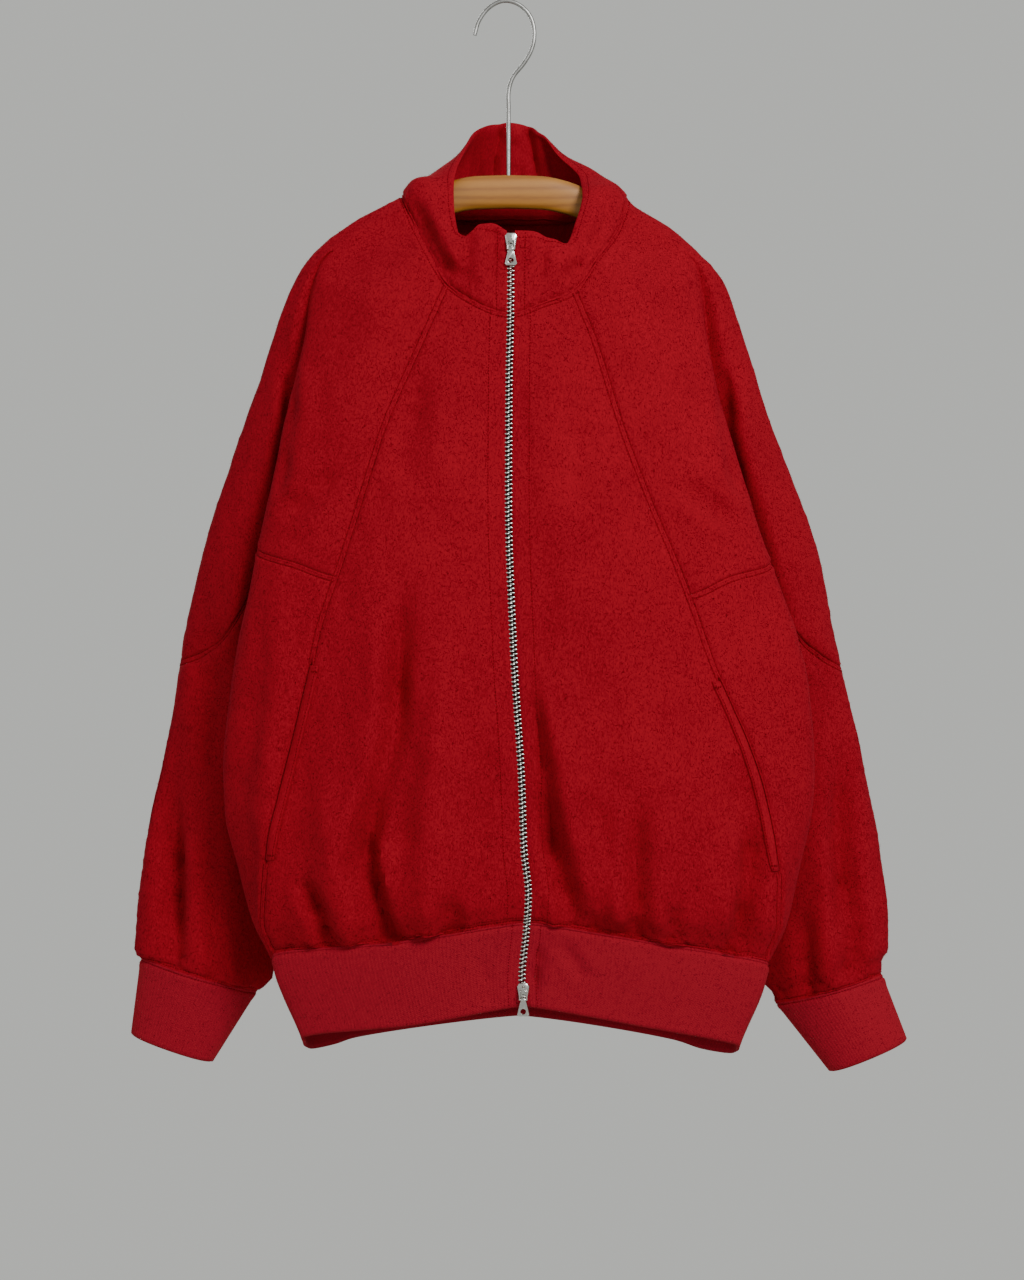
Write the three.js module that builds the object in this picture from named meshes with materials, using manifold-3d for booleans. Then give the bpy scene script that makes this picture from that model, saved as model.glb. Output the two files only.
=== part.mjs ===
// A zip-up track jacket hanging on a wooden hanger, in millimetres, +Z up.
// The origin is the inside of the hook's crown; the front of the jacket faces -Y and +X is the viewer's right.
import * as THREE from 'three';
import Module from 'manifold-3d';
import { mergeVertices } from 'three/addons/utils/BufferGeometryUtils.js';

const wasm = await Module();
wasm.setup();

// Wall thicknesses and clearances
const CLOTH = 3.0;
const BAND = 3.6;
const SEAM_GAP = 0.3;
const TIP_INSET = 3;

// Zip: half width of the closed teeth, width of tape behind each front, and thicknesses
const CHAIN_HALF = 3.1;
const CHAIN_EDGE_GAP = 0.5;
const TAPE_WIDTH = 11;
const TAPE = 1.0;
const TAPE_CLEARANCE = 0.7;

// Pocket welt: its width, thickness and clearance over the front, and the rows of the seam that it covers
const WELT_WIDTH = 10;
const WELT = 1.6;
const WELT_CLEARANCE = 0.5;
const WELT_ROWS = [3, 9];

// Rows down the garment and columns round it
const YOKE_ROWS = 13;
const BODY_ROWS = 12;
const SLEEVE_ROWS = 12;
const COLLAR_ROWS = 4;
const RIB_ROWS = 3;
const CUFF_ROWS = 3;
const YOKE_CROWDING = 1.35;

// Lines that run down the garment. Each row is height z, x of the left line, x of the right line, depth y.
const ZIP = [
  [-215, 6.3, 6.3, -60], [-251, 6.3, 6.3, -61], [-288, 5.9, 5.9, -62], [-347, 4.6, 4.6, -69],
  [-451, 4.2, 4.2, -76], [-582, 8.5, 8.5, -80], [-695, 15.5, 15.5, -82], [-756, 17.6, 17.6, -82],
  [-795, 21.5, 21.5, -81], [-826, 19.8, 19.8, -73], [-869, 16, 16, -65], [-896, 17, 17, -63],
];
const QUARTER = [
  [-279, -22, 34, -60], [-347, -40, 45, -72], [-451, -61, 66, -82], [-582, -82, 92, -86],
  [-695, -92, 120, -86], [-770, -94, 130, -85], [-812, -94, 130, -79], [-832, -92, 128, -67],
];
const RAGLAN = [
  [-260, -50.5, 60, -51], [-311, -72.5, 80, -60], [-384, -104, 102, -66], [-436, -121, 121.5, -68],
  [-517, -147, 155, -69], [-563, -162.5, 171.5, -69], [-598, -170, 184, -69], [-666, -186, 214.5, -66],
  [-704, -195, 226.5, -64], [-755, -206, 237, -61], [-790, -211, 242, -58], [-823, -213, 242, -52],
  [-851, -204, 233, -42],
];
const FOLD = [
  [-208, -78, 96, -23], [-222, -116, 128, -21], [-238, -150, 158, -20], [-252, -166, 170, -20],
  [-275, -169, 173, -22], [-310, -177, 179.5, -26], [-362, -191, 190.5, -31], [-430, -204, 212, -35],
  [-498, -219, 234, -37], [-537, -227, 247.5, -37], [-575, -235, 260, -36], [-617, -241.5, 270.5, -34],
  [-686, -248.5, 276, -30], [-724, -248, 274, -28], [-771, -238, 265, -26], [-824, -224, 252.5, -23],
  [-850, -213, 242, -20], [-862, -204, 235, -18],
];
const VALLEY = [
  [-190, -86, 104, -13], [-214, -136, 146, -14], [-236, -164, 171, -12], [-262, -173, 178, -10],
  [-310, -178, 184, -6], [-362, -184, 192, -2], [-430, -194, 207, 5], [-480, -205, 219, 15],
];
const OUTLINE = [
  [-174, -92, 110, 3], [-181, -108, 118, 2], [-194, -130, 135, 0], [-208, -148, 155, 0], [-222, -166, 171, 0],
  [-236, -180, 187, 0], [-250, -189, 198, 2], [-272, -199, 206, 5], [-304, -211, 216.5, 11],
  [-341, -223, 229, 16], [-415, -248.5, 258, 25], [-503, -277, 289, 35], [-594, -297, 308, 46],
  [-684, -312, 327.5, 50], [-764, -328, 344.5, 48], [-832, -337, 352.5, 43], [-856, -337, 352, 40],
  [-866, -330, 346, 40],
];
const BACK_FOLD = [
  [-180, -88, 107, 14], [-206, -138, 148, 15], [-236, -167, 174, 17], [-272, -175, 181, 27],
  [-341, -178, 185, 44], [-415, -180, 190, 56], [-510, -186, 198, 66],
];
const BACK_VALLEY = [
  [-184, -84, 102, 20], [-212, -130, 141, 20], [-240, -162, 168, 22], [-272, -174, 180, 26],
  [-341, -187, 194, 30], [-415, -197, 208, 25], [-480, -205, 219, 15],
];
const SIDE = [
  [-480, -205, 219, 15], [-520, -217, 231, 4], [-560, -226, 246, -3], [-600, -233, 259, -8],
  [-690, -240, 267, -8], [-770, -230, 257, -6], [-824, -216, 244, -3], [-866, -199, 230, 0],
];
const BACK_RAGLAN = [
  [-187, -62, 78, 40], [-250, -82, 94, 49], [-350, -108, 118, 53], [-430, -126, 136, 50],
  [-500, -138, 150, 42], [-600, -146, 162, 36], [-700, -154, 172, 40], [-800, -160, 178, 44],
  [-838, -158, 176, 42], [-862, -154, 172, 36],
];
const BACK_CENTRE = [
  [-188, 4, 4, 49], [-250, 4, 4, 60], [-350, 4, 4, 66], [-500, 6, 6, 69], [-700, 10, 10, 70],
  [-800, 13, 13, 66], [-842, 14, 14, 52],
];
const INNER_ARM = [
  [-480, -205, 219, 15], [-520, -193, 207, 32], [-560, -182, 194, 44], [-600, -173, 186, 52],
  [-700, -186, 204, 54], [-800, -204, 218, 52], [-862, -211, 228, 46], [-882, -213, 234, 42],
  [-896, -228, 248, 40],
];

// Heights at which each line starts at the neck, crosses the underarm seam and ends at the rib or cuff
const HEIGHTS = {
  zip: [-288, -551, -820],
  quarter: { left: [-280, -540, -837], right: [-279, -545, -837] },
  raglan: { left: [-260, -520, -851], right: [-266, -536, -858] },
  middle: { left: [-236, -508, -857], right: [-238, -520, -862] },
  fold: { left: [-208, -496, -862], right: [-210, -508, -866] },
  valley: { left: [-190, -480], right: [-192, -486] },
  outline: { left: [-174, -594, -863], right: [-176, -600, -879] },
  backFold: { left: [-180, -510], right: [-182, -518] },
  backValley: { left: [-184, -480], right: [-186, -486] },
  side: { left: [-480, -866], right: [-486, -870] },
  backMiddle: { left: [-186, -490, -864], right: [-188, -496, -868] },
  backRaglan: { left: [-187, -500, -860], right: [-188, -506, -862] },
  backCentre: [-188, -505, -842],
  innerArm: { left: [-480, -894], right: [-486, -905] },
  frontArm: { left: [-182, -568, -878], right: [-184, -569, -892] },
  backArm: { left: [-177, -552, -878], right: [-179, -558, -892] },
};

// Depth of the sleeve's front and back middle lines by height
const ARM_FRONT = [
  [-182, -9], [-208, -11], [-236, -12], [-272, -11], [-341, -7], [-415, -5], [-546, 2], [-600, 10],
  [-700, 12], [-800, 13], [-860, 6], [-892, 15],
];
const ARM_BACK = [
  [-177, 11], [-208, 12], [-236, 14], [-272, 22], [-341, 42], [-415, 62], [-552, 86], [-600, 92],
  [-700, 94], [-800, 90], [-860, 80], [-892, 66],
];

// Collar top edge, from the left front corner round the back to the right one.
// Each row is the share of the way round, x, y and z.
const COLLAR_TOP = [
  [0.0, 2.7, -60, -215], [0.05, -10, -60, -209], [0.1, -22, -58, -208], [0.15, -33, -55, -217],
  [0.2, -40, -50, -214], [0.25, -45, -38, -190], [0.31, -46, -18, -162], [0.38, -40, 12, -136],
  [0.44, -26, 38, -108], [0.5, 3, 50, -99.6], [0.56, 30, 44, -106], [0.62, 50, 26, -130],
  [0.69, 70, 2, -156], [0.75, 71, -24, -176], [0.8, 64, -42, -204], [0.85, 55, -52, -224],
  [0.9, 40, -57, -219], [0.95, 25, -60, -215], [1.0, 9.9, -60, -215],
];
const COLLAR_ROLL = { front: 3, side: 15, back: 7 };

// Further rise of the collar between its edges, by share of the way round (minus sinks it)
const COLLAR_RISES = [
  { share: 0.4, spread: 0.055, height: 10 },
  { share: 0.61, spread: 0.055, height: 8 },
  { share: 0.71, spread: 0.04, height: -6 },
];

// Rib hem and cuffs
const RIB_HEIGHT = 74;
const RIB_TAPER = { x: 0.885, y: 0.86 };
const RIB_EDGE_SHARE = 0.09;
const BODY_AXIS = { x: 16, y: -4 };
const CUFF_END = {
  left: { outer: [-341, -932], inner: [-266, -958] },
  right: { outer: [368, -937], inner: [297, -967] },
};
const CUFF_END_HALF_DEPTH = 21;
const CUFF_END_DEPTH = 38;

// Folds: x and z of the top, the middle and the bottom, half width, and depth (minus is a trough)
const FRONT_FOLDS = [
  { top: [-84, -500], middle: [-88, -640], bottom: [-92, -745], half: 22, depth: -5 },
  { top: [-92, -700], middle: [-119, -762], bottom: [-96, -846], half: 16, depth: -9 },
  { top: [-60, -600], middle: [-64, -720], bottom: [-70, -835], half: 20, depth: 5 },
  { top: [-150, -690], middle: [-152, -780], bottom: [-142, -842], half: 20, depth: 5 },
  { top: [-163, -790], middle: [-153, -820], bottom: [-147, -848], half: 14, depth: -6 },
  { top: [24, -580], middle: [34, -700], bottom: [64, -815], half: 16, depth: 8 },
  { top: [75, -690], middle: [88, -790], bottom: [82, -836], half: 15, depth: -6 },
  { top: [113, -700], middle: [114, -790], bottom: [112, -836], half: 15, depth: -6 },
  { top: [140, -640], middle: [140, -760], bottom: [146, -842], half: 18, depth: 5 },
  { top: [226, -742], middle: [218, -800], bottom: [200, -852], half: 14, depth: -6 },
  { top: [-308, -690], middle: [-303, -770], bottom: [-300, -862], half: 13, depth: -9 },
  { top: [-262, -720], middle: [-265, -800], bottom: [-262, -876], half: 12, depth: -5 },
  { top: [298, -700], middle: [304, -790], bottom: [315, -874], half: 13, depth: -9 },
  { top: [272, -820], middle: [271, -850], bottom: [276, -888], half: 11, depth: -6 },
];
const BACK_FOLDS = [
  { top: [-96, -560], middle: [-100, -700], bottom: [-92, -850], half: 24, depth: -6 },
  { top: [-40, -640], middle: [-46, -750], bottom: [-40, -842], half: 20, depth: -5 },
  { top: [52, -600], middle: [50, -740], bottom: [60, -842], half: 22, depth: -6 },
  { top: [118, -560], middle: [120, -720], bottom: [116, -852], half: 22, depth: -6 },
  { top: [4, -260], middle: [8, -420], bottom: [10, -600], half: 30, depth: -5 },
  { top: [-290, -700], middle: [-292, -790], bottom: [-292, -866], half: 14, depth: -8 },
  { top: [300, -700], middle: [306, -790], bottom: [312, -880], half: 14, depth: -8 },
];
const FOLD_CLEAR_OF_ZIP = 14;

// Hanger: each row is distance from the hook's shaft, height of the top and of the underside
const HANGER = [
  [0, -155, -185], [30, -156, -186], [54, -161, -191], [95, -181, -208], [120, -195.5, -221],
  [140, -208, -232], [158, -221.5, -244], [171, -233.5, -252], [177, -241, -250],
];
const HANGER_HALF_THICKNESS = 6;
const HANGER_RING = 14;
const HANGER_STEPS = 20;
const SHAFT_X = 4.1;
const WIRE_RADIUS = 1.9;
const HOOK_ROUTE = [
  [-26.5, -29], [-22.5, -16], [-12.5, -3.5], [0, 1.9], [12.5, -1], [23, -11], [27.2, -25], [25.5, -40],
  [18.5, -53.5], [8, -67], [4.3, -79], [SHAFT_X, -95], [SHAFT_X, -130], [SHAFT_X, -168],
];
const HOOK_STEPS = 46;
const HOLE_RADIUS = 2.35;

// Zip sliders: plate outline, bridge, bail and pull tab
const SLIDER = { width: 10.4, height: 12, thickness: 1.8 };
const BRIDGE = { width: 2.4, height: 7.4, reach: 3.6, wall: 0.9 };
const BAIL = { width: 7.4, height: 8.6, wire: 1.2 };
const TAB = { top: 5.4, bottom: 10.4, length: 14.5, thickness: 1.3, hole: 2.5 };
const KNUCKLE = { width: 4.2, radius: 1.7, bore: 1.0 };
const SLIDER_PLACES = {
  top: { x: 6.3, z: -222.5 },
  bottom: { x: 17, z: -880 },
};

// Monotone cubic interpolation of one column of a table whose first column falls or rises steadily
function sample(table, column, key) {
  const falling = table[0][0] > table[table.length - 1][0];
  const rows = falling ? [...table].reverse() : table;
  const last = rows.length - 1;
  const place = Math.min(Math.max(key, rows[0][0]), rows[last][0]);
  let k = 0;
  while (k < last - 1 && place > rows[k + 1][0]) k += 1;
  const slope = (i) => (rows[i + 1][column] - rows[i][column]) / (rows[i + 1][0] - rows[i][0]);
  const tangent = (i) => {
    if (i === 0) return slope(0);
    if (i === last) return slope(last - 1);
    const before = slope(i - 1);
    const after = slope(i);
    return before * after <= 0 ? 0 : (2 * before * after) / (before + after);
  };
  const width = rows[k + 1][0] - rows[k][0];
  const t = (place - rows[k][0]) / width;
  const t2 = t * t;
  const t3 = t2 * t;
  return (2 * t3 - 3 * t2 + 1) * rows[k][column] + (t3 - 2 * t2 + t) * width * tangent(k)
    + (3 * t2 - 2 * t3) * rows[k + 1][column] + (t3 - t2) * width * tangent(k + 1);
}

const mix = (a, b, t) => a + (b - a) * t;
const smooth = (t) => {
  const s = Math.min(Math.max(t, 0), 1);
  return s * s * (3 - 2 * s);
};

// Height of a line on row i: neck to underarm seam over the first rows, then on to the rib
function heightOn(stops, i) {
  if (i <= YOKE_ROWS) return mix(stops[0], stops[1], (i / YOKE_ROWS) ** YOKE_CROWDING);
  return mix(stops[1], stops[2], (i - YOKE_ROWS) / BODY_ROWS);
}

const SIGN = { left: -1, right: 1 };
const COLUMN = { left: 1, right: 2 };

function onLine(table, side, z) {
  return new THREE.Vector3(sample(table, COLUMN[side], z), sample(table, 3, z), z);
}

// Height of the zip or quarter line on row i keeps in step with the raglan seam beside it
function shareOfRaglan(side, i) {
  const stops = HEIGHTS.raglan[side];
  return (heightOn(stops, i) - stops[0]) / (stops[2] - stops[0]);
}

function zipEdge(side, z) {
  const point = onLine(ZIP, side, z);
  point.x += SIGN[side] * (CHAIN_HALF + CHAIN_EDGE_GAP);
  return point;
}

function frontPoints(side, i) {
  const share = shareOfRaglan(side, i);
  const zip = zipEdge(side, mix(HEIGHTS.zip[0], HEIGHTS.zip[2], share));
  const quarterStops = HEIGHTS.quarter[side];
  const quarter = onLine(QUARTER, side, mix(quarterStops[0], quarterStops[2], share));
  const raglan = onLine(RAGLAN, side, heightOn(HEIGHTS.raglan[side], i));
  const fold = onLine(FOLD, side, heightOn(HEIGHTS.fold[side], i));
  const middle = new THREE.Vector3().addVectors(raglan, fold).multiplyScalar(0.5);
  middle.y -= 0.09 * raglan.distanceTo(fold);
  middle.z = heightOn(HEIGHTS.middle[side], i);
  return { zip, quarter, raglan, middle, fold };
}

function backPoints(side, i) {
  const raglan = onLine(BACK_RAGLAN, side, heightOn(HEIGHTS.backRaglan[side], i));
  const centre = onLine(BACK_CENTRE, side, heightOn(HEIGHTS.backCentre, i));
  return { raglan, centre };
}

// Smooth curve through points, with one guide point before and one after; k counts whole spans
function through(points) {
  const curve = new THREE.CatmullRomCurve3(points, false, 'centripetal');
  return (k) => curve.getPoint((k + 1) / (points.length - 1));
}

function beyond(point, from, share = 0.6) {
  return point.clone().addScaledVector(new THREE.Vector3().subVectors(point, from), share);
}

// Whole-span stations with a given number of steps in each span
function stations(steps) {
  const list = [];
  steps.forEach((count, span) => {
    for (let step = 0; step < count; step += 1) list.push(span + step / count);
  });
  list.push(steps.length);
  return list;
}

function frontSpanStations(zip, quarter, raglan) {
  const near = TAPE_WIDTH / zip.distanceTo(quarter);
  const far = 2 - WELT_WIDTH / quarter.distanceTo(raglan);
  const inner = 7;
  const list = [0];
  for (let step = 0; step <= inner; step += 1) list.push(mix(near, far, step / inner));
  list.push(2);
  return list;
}

// Rows of points of each patch, columns running from the zip round the side to the back centre
function yokeAndFrontRow(side, i) {
  const front = frontPoints(side, i);
  const { zip, quarter, raglan, middle, fold } = front;
  const mirror = zip.clone().add(new THREE.Vector3(-SIGN[side] * 12, 0, 0));
  const down = i > YOKE_ROWS;
  const turn = down
    ? onLine(SIDE, side, mix(...HEIGHTS.side[side], (i - YOKE_ROWS) / BODY_ROWS))
    : onLine(VALLEY, side, heightOn(HEIGHTS.valley[side], i));
  const back = backPoints(side, i);
  const backMiddle = new THREE.Vector3();
  const valley = down ? turn : onLine(BACK_VALLEY, side, heightOn(HEIGHTS.backValley[side], i));
  backMiddle.addVectors(valley, back.raglan).multiplyScalar(0.5);
  backMiddle.z = heightOn(HEIGHTS.backMiddle[side], i);
  backMiddle.y += i < YOKE_ROWS ? 3 : -1;
  const open = smooth((i - YOKE_ROWS) / 3);
  const frontGuide = beyond(turn, fold).lerp(backMiddle, open);
  const backGuide = beyond(valley, backMiddle).lerp(fold, open);
  const frontCurve = through([mirror, zip, quarter, raglan, middle, fold, turn, frontGuide]);
  const behind = back.centre.clone().add(new THREE.Vector3(-SIGN[side] * 60, -4, 0));
  const backCurve = through([backGuide, valley, backMiddle, back.raglan, back.centre, behind]);
  return { front, frontCurve, backCurve, turn, valley };
}

function sleeveRowAbove(side, i, turn, valley) {
  const outline = onLine(OUTLINE, side, heightOn(HEIGHTS.outline[side], i));
  const frontZ = heightOn(HEIGHTS.frontArm[side], i);
  const arm = new THREE.Vector3().addVectors(turn, outline).multiplyScalar(0.5);
  const front = new THREE.Vector3(arm.x, sample(ARM_FRONT, 1, frontZ), frontZ);
  const backFold = onLine(BACK_FOLD, side, heightOn(HEIGHTS.backFold[side], i));
  const backZ = heightOn(HEIGHTS.backArm[side], i);
  const back = new THREE.Vector3((outline.x + backFold.x) / 2, sample(ARM_BACK, 1, backZ), backZ);
  return through([
    beyond(turn, front), turn, front, outline, back, backFold, valley, beyond(valley, backFold),
  ]);
}

function sleeveRowBelow(side, j) {
  const t = j / SLEEVE_ROWS;
  const inner = onLine(INNER_ARM, side, mix(...HEIGHTS.innerArm[side], t));
  const outline = onLine(OUTLINE, side, Math.max(mix(...HEIGHTS.outline[side].slice(1), t), -900));
  outline.z = mix(...HEIGHTS.outline[side].slice(1), t);
  const middleX = (inner.x + outline.x) / 2;
  const frontZ = mix(...HEIGHTS.frontArm[side].slice(1), t);
  const backZ = mix(...HEIGHTS.backArm[side].slice(1), t);
  const front = new THREE.Vector3(middleX, sample(ARM_FRONT, 1, frontZ), frontZ);
  const back = new THREE.Vector3(middleX, sample(ARM_BACK, 1, backZ), backZ);
  const quarter = new THREE.Vector3(
    mix(middleX, inner.x, 0.72), mix(inner.y, back.y, 0.66), (backZ + inner.z) / 2,
  );
  const open = smooth(j / 3);
  const before = beyond(inner, front).lerp(quarter, open);
  const after = beyond(inner, quarter).lerp(front, open);
  return through([before, inner, front, outline, back, quarter, inner, after]);
}

function grid(rows, row) {
  return Array.from({ length: rows + 1 }, (_, i) => row(i));
}

const YOKE_FRONT_STEPS = [2, 2, 2];
const SLEEVE_FRONT_STEPS = [3, 3];
const SLEEVE_BACK_STEPS = [3, 2, 2];
const YOKE_BACK_STEPS = [2, 2];
const BACK_STEPS = 7;

const range = (steps, from) => stations(steps).map((station) => station + from);

const patches = {};

function addSide(side) {
  const rows = grid(YOKE_ROWS + BODY_ROWS, (i) => yokeAndFrontRow(side, i));
  patches[`front_${side}`] = rows.map(({ front, frontCurve }) => (
    frontSpanStations(front.zip, front.quarter, front.raglan).map(frontCurve)));
  const arms = grid(YOKE_ROWS, (i) => sleeveRowAbove(side, i, rows[i].turn, rows[i].valley));
  patches[`sleeve_upper_front_${side}`] = arms.map((arm, i) => [
    ...range(YOKE_FRONT_STEPS, 2).map(rows[i].frontCurve),
    ...range(SLEEVE_FRONT_STEPS, 0).slice(1).map(arm),
  ]);
  patches[`sleeve_upper_back_${side}`] = arms.map((arm, i) => [
    ...range(SLEEVE_BACK_STEPS, 2).map(arm),
    ...range(YOKE_BACK_STEPS, 0).slice(1).map(rows[i].backCurve),
  ]);
  patches[`side_panel_${side}`] = rows.slice(YOKE_ROWS).map(({ frontCurve, backCurve }) => [
    ...range(YOKE_FRONT_STEPS, 2).map(frontCurve),
    ...range(YOKE_BACK_STEPS, 0).slice(1).map(backCurve),
  ]);
  const top = arms[YOKE_ROWS];
  const lower = grid(SLEEVE_ROWS, (j) => (j === 0 ? top : sleeveRowBelow(side, j)));
  patches[`sleeve_lower_front_${side}`] = lower.map((arm) => range(SLEEVE_FRONT_STEPS, 0).map(arm));
  patches[`sleeve_lower_back_${side}`] = lower.map((arm) => range(SLEEVE_BACK_STEPS, 2).map(arm));
  return rows.map(({ backCurve }) => (
    Array.from({ length: BACK_STEPS + 1 }, (_, k) => backCurve(2 + k / BACK_STEPS))));
}

const halfBack = { left: addSide('left'), right: addSide('right') };
patches.back = halfBack.left.map((row, i) => [...row, ...[...halfBack.right[i]].reverse().slice(1)]);

// Ring of points round the neck or the hem, from the left front edge round the back to the right one
function ringOf(rowOf, names) {
  const leftRow = names.flatMap((name, k) => rowOf(`${name}_left`).slice(k ? 1 : 0));
  const rightRow = names.flatMap((name, k) => rowOf(`${name}_right`).slice(k ? 1 : 0));
  return [...leftRow, ...rowOf('back').slice(1), ...rightRow.reverse().slice(1)];
}

const firstRow = (name) => patches[name][0];
const lastRow = (name) => patches[name][patches[name].length - 1];
const neck = ringOf(firstRow, ['front', 'sleeve_upper_front', 'sleeve_upper_back']);
const hem = ringOf(lastRow, ['front', 'side_panel']);

// Share of the way round the ring at each of its points
function shares(ring) {
  const lengths = [0];
  for (let k = 1; k < ring.length; k += 1) lengths.push(lengths[k - 1] + ring[k].distanceTo(ring[k - 1]));
  return lengths.map((length) => length / lengths[lengths.length - 1]);
}

const neckShares = shares(neck);
patches.collar = grid(COLLAR_ROWS, (i) => neck.map((base, k) => {
  const up = 1 - i / COLLAR_ROWS;
  const share = neckShares[k];
  const top = new THREE.Vector3(...[1, 2, 3].map((column) => sample(COLLAR_TOP, column, share)));
  const around = 2 * Math.PI * share;
  const sideways = Math.sin(around) ** 2;
  const plain = Math.cos(around) > 0 ? COLLAR_ROLL.front : COLLAR_ROLL.back;
  const roll = mix(plain, COLLAR_ROLL.side, sideways) * smooth(Math.min(share, 1 - share) / 0.08);
  const away = new THREE.Vector3(-Math.sin(around) * 0.5, -Math.cos(around) * (1 - sideways), sideways);
  const rise = COLLAR_RISES.reduce((sum, { share: centre, spread, height }) => (
    sum + height * Math.exp(-(((share - centre) / spread) ** 2))), 0);
  const point = base.clone().lerp(top, up).addScaledVector(away.normalize(), roll * Math.sin(Math.PI * up));
  point.z += rise * Math.sin(Math.PI * up);
  return point;
}));

const hemShares = shares(hem);
patches.hem_rib = grid(RIB_ROWS, (i) => {
  const down = i / RIB_ROWS;
  const taper = smooth(down * 0.8) / smooth(0.8);
  const row = hem.map((point) => new THREE.Vector3(
    mix(BODY_AXIS.x, point.x, mix(1, RIB_TAPER.x, taper)),
    mix(BODY_AXIS.y, point.y, mix(1, RIB_TAPER.y, taper)),
    point.z - RIB_HEIGHT * down,
  ));
  const ends = { left: row[0].clone(), right: row[row.length - 1].clone() };
  return row.map((point, k) => {
    const side = hemShares[k] < 0.5 ? 'left' : 'right';
    const near = 1 - smooth(Math.min(hemShares[k], 1 - hemShares[k]) / RIB_EDGE_SHARE);
    const target = zipEdge(side, ends[side].z);
    return point.addScaledVector(target.sub(ends[side]), near);
  });
});

function addCuff(side) {
  const frontRow = lastRow(`sleeve_lower_front_${side}`);
  const backRow = lastRow(`sleeve_lower_back_${side}`);
  const ring = [...frontRow, ...backRow.slice(1)];
  const { outer, inner } = CUFF_END[side];
  const innerStart = frontRow[0];
  const outerStart = backRow[0];
  const half = (ring.length - 1) / 2;
  patches[`cuff_${side}`] = grid(CUFF_ROWS, (i) => ring.map((point, k) => {
    const down = i / CUFF_ROWS;
    const across = (point.x - innerStart.x) / (outerStart.x - innerStart.x);
    const level = Math.sqrt(Math.max(1 - (2 * Math.min(Math.max(across, 0), 1) - 1) ** 2, 0));
    const face = k <= half - 0.5 || k < frontRow.length ? -1 : 1;
    const end = new THREE.Vector3(
      mix(inner[0], outer[0], across), CUFF_END_DEPTH + face * CUFF_END_HALF_DEPTH * level,
      mix(inner[1], outer[1], across),
    );
    return point.clone().lerp(end, down);
  }));
}
addCuff('left');
addCuff('right');

// Every point shared by neighbouring patches is one vertex, so that walls meet on one seam plane
const vertices = [];
const vertexOf = new Map();

function vertexIndex(point) {
  const key = [point.x, point.y, point.z].map((value) => Math.round(value * 50)).join(',');
  if (!vertexOf.has(key)) {
    vertexOf.set(key, vertices.length);
    vertices.push({ point: point.clone(), normal: new THREE.Vector3() });
  }
  return vertexOf.get(key);
}

const meshes = Object.entries(patches).map(([name, rows]) => ({
  name,
  flip: name.endsWith('_right'),
  index: rows.map((row) => row.map(vertexIndex)),
}));

const crotches = ['left', 'right'].map((side) => {
  const row = lastRow(`sleeve_upper_front_${side}`);
  return vertexIndex(row[YOKE_FRONT_STEPS.reduce((a, b) => a + b)]);
});

function eachTriangle(mesh, visit) {
  for (let r = 0; r + 1 < mesh.index.length; r += 1) {
    for (let c = 0; c + 1 < mesh.index[r].length; c += 1) {
      const [a, b] = [mesh.index[r][c], mesh.index[r][c + 1]];
      const [d, e] = [mesh.index[r + 1][c], mesh.index[r + 1][c + 1]];
      const pairs = mesh.flip ? [[a, d, b], [b, d, e]] : [[a, b, d], [b, e, d]];
      pairs.forEach((triangle) => visit(...triangle));
    }
  }
}

function computeNormals() {
  vertices.forEach(({ normal }) => normal.set(0, 0, 0));
  meshes.forEach((mesh) => eachTriangle(mesh, (a, b, c) => {
    const [p, q, r] = [a, b, c].map((k) => vertices[k].point);
    const face = new THREE.Vector3().subVectors(q, p).cross(new THREE.Vector3().subVectors(r, p));
    [a, b, c].forEach((k) => vertices[k].normal.add(face));
  }));
  vertices.forEach(({ normal }) => normal.normalize());
  crotches.forEach((k) => vertices[k].normal.set(0, 0, -1));
}

// Depth of all folds of one face of the garment at a point
function foldDepth(folds, x, z) {
  return folds.reduce((sum, { top, middle, bottom, half, depth }) => {
    if (z > top[1] + half || z < bottom[1] - half) return sum;
    const path = [[bottom[1], bottom[0]], [middle[1], middle[0]], [top[1], top[0]]];
    const away = (x - sample(path, 1, z)) / half;
    const length = top[1] - bottom[1];
    const ends = smooth((top[1] + half - z) / (length * 0.5)) * smooth((z - bottom[1] + half) / (half * 1.2));
    return sum + depth * ends * Math.exp(-1.6 * away * away);
  }, 0);
}

function applyFolds() {
  const ribbed = new Set(meshes.filter(({ name }) => /rib|cuff|collar/.test(name))
    .flatMap(({ index }) => index.flat()));
  vertices.forEach(({ point, normal }, k) => {
    if (ribbed.has(k)) return;
    const facing = Math.min(Math.abs(normal.y) * 1.4, 1);
    const nearZip = smooth((Math.abs(point.x - sample(ZIP, 1, point.z)) - CHAIN_HALF) / FOLD_CLEAR_OF_ZIP);
    const depth = normal.y < 0
      ? foldDepth(FRONT_FOLDS, point.x, point.z) * nearZip
      : foldDepth(BACK_FOLDS, point.x, point.z);
    point.addScaledVector(normal, depth * facing);
  });
}

computeNormals();
applyFolds();
computeNormals();

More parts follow.
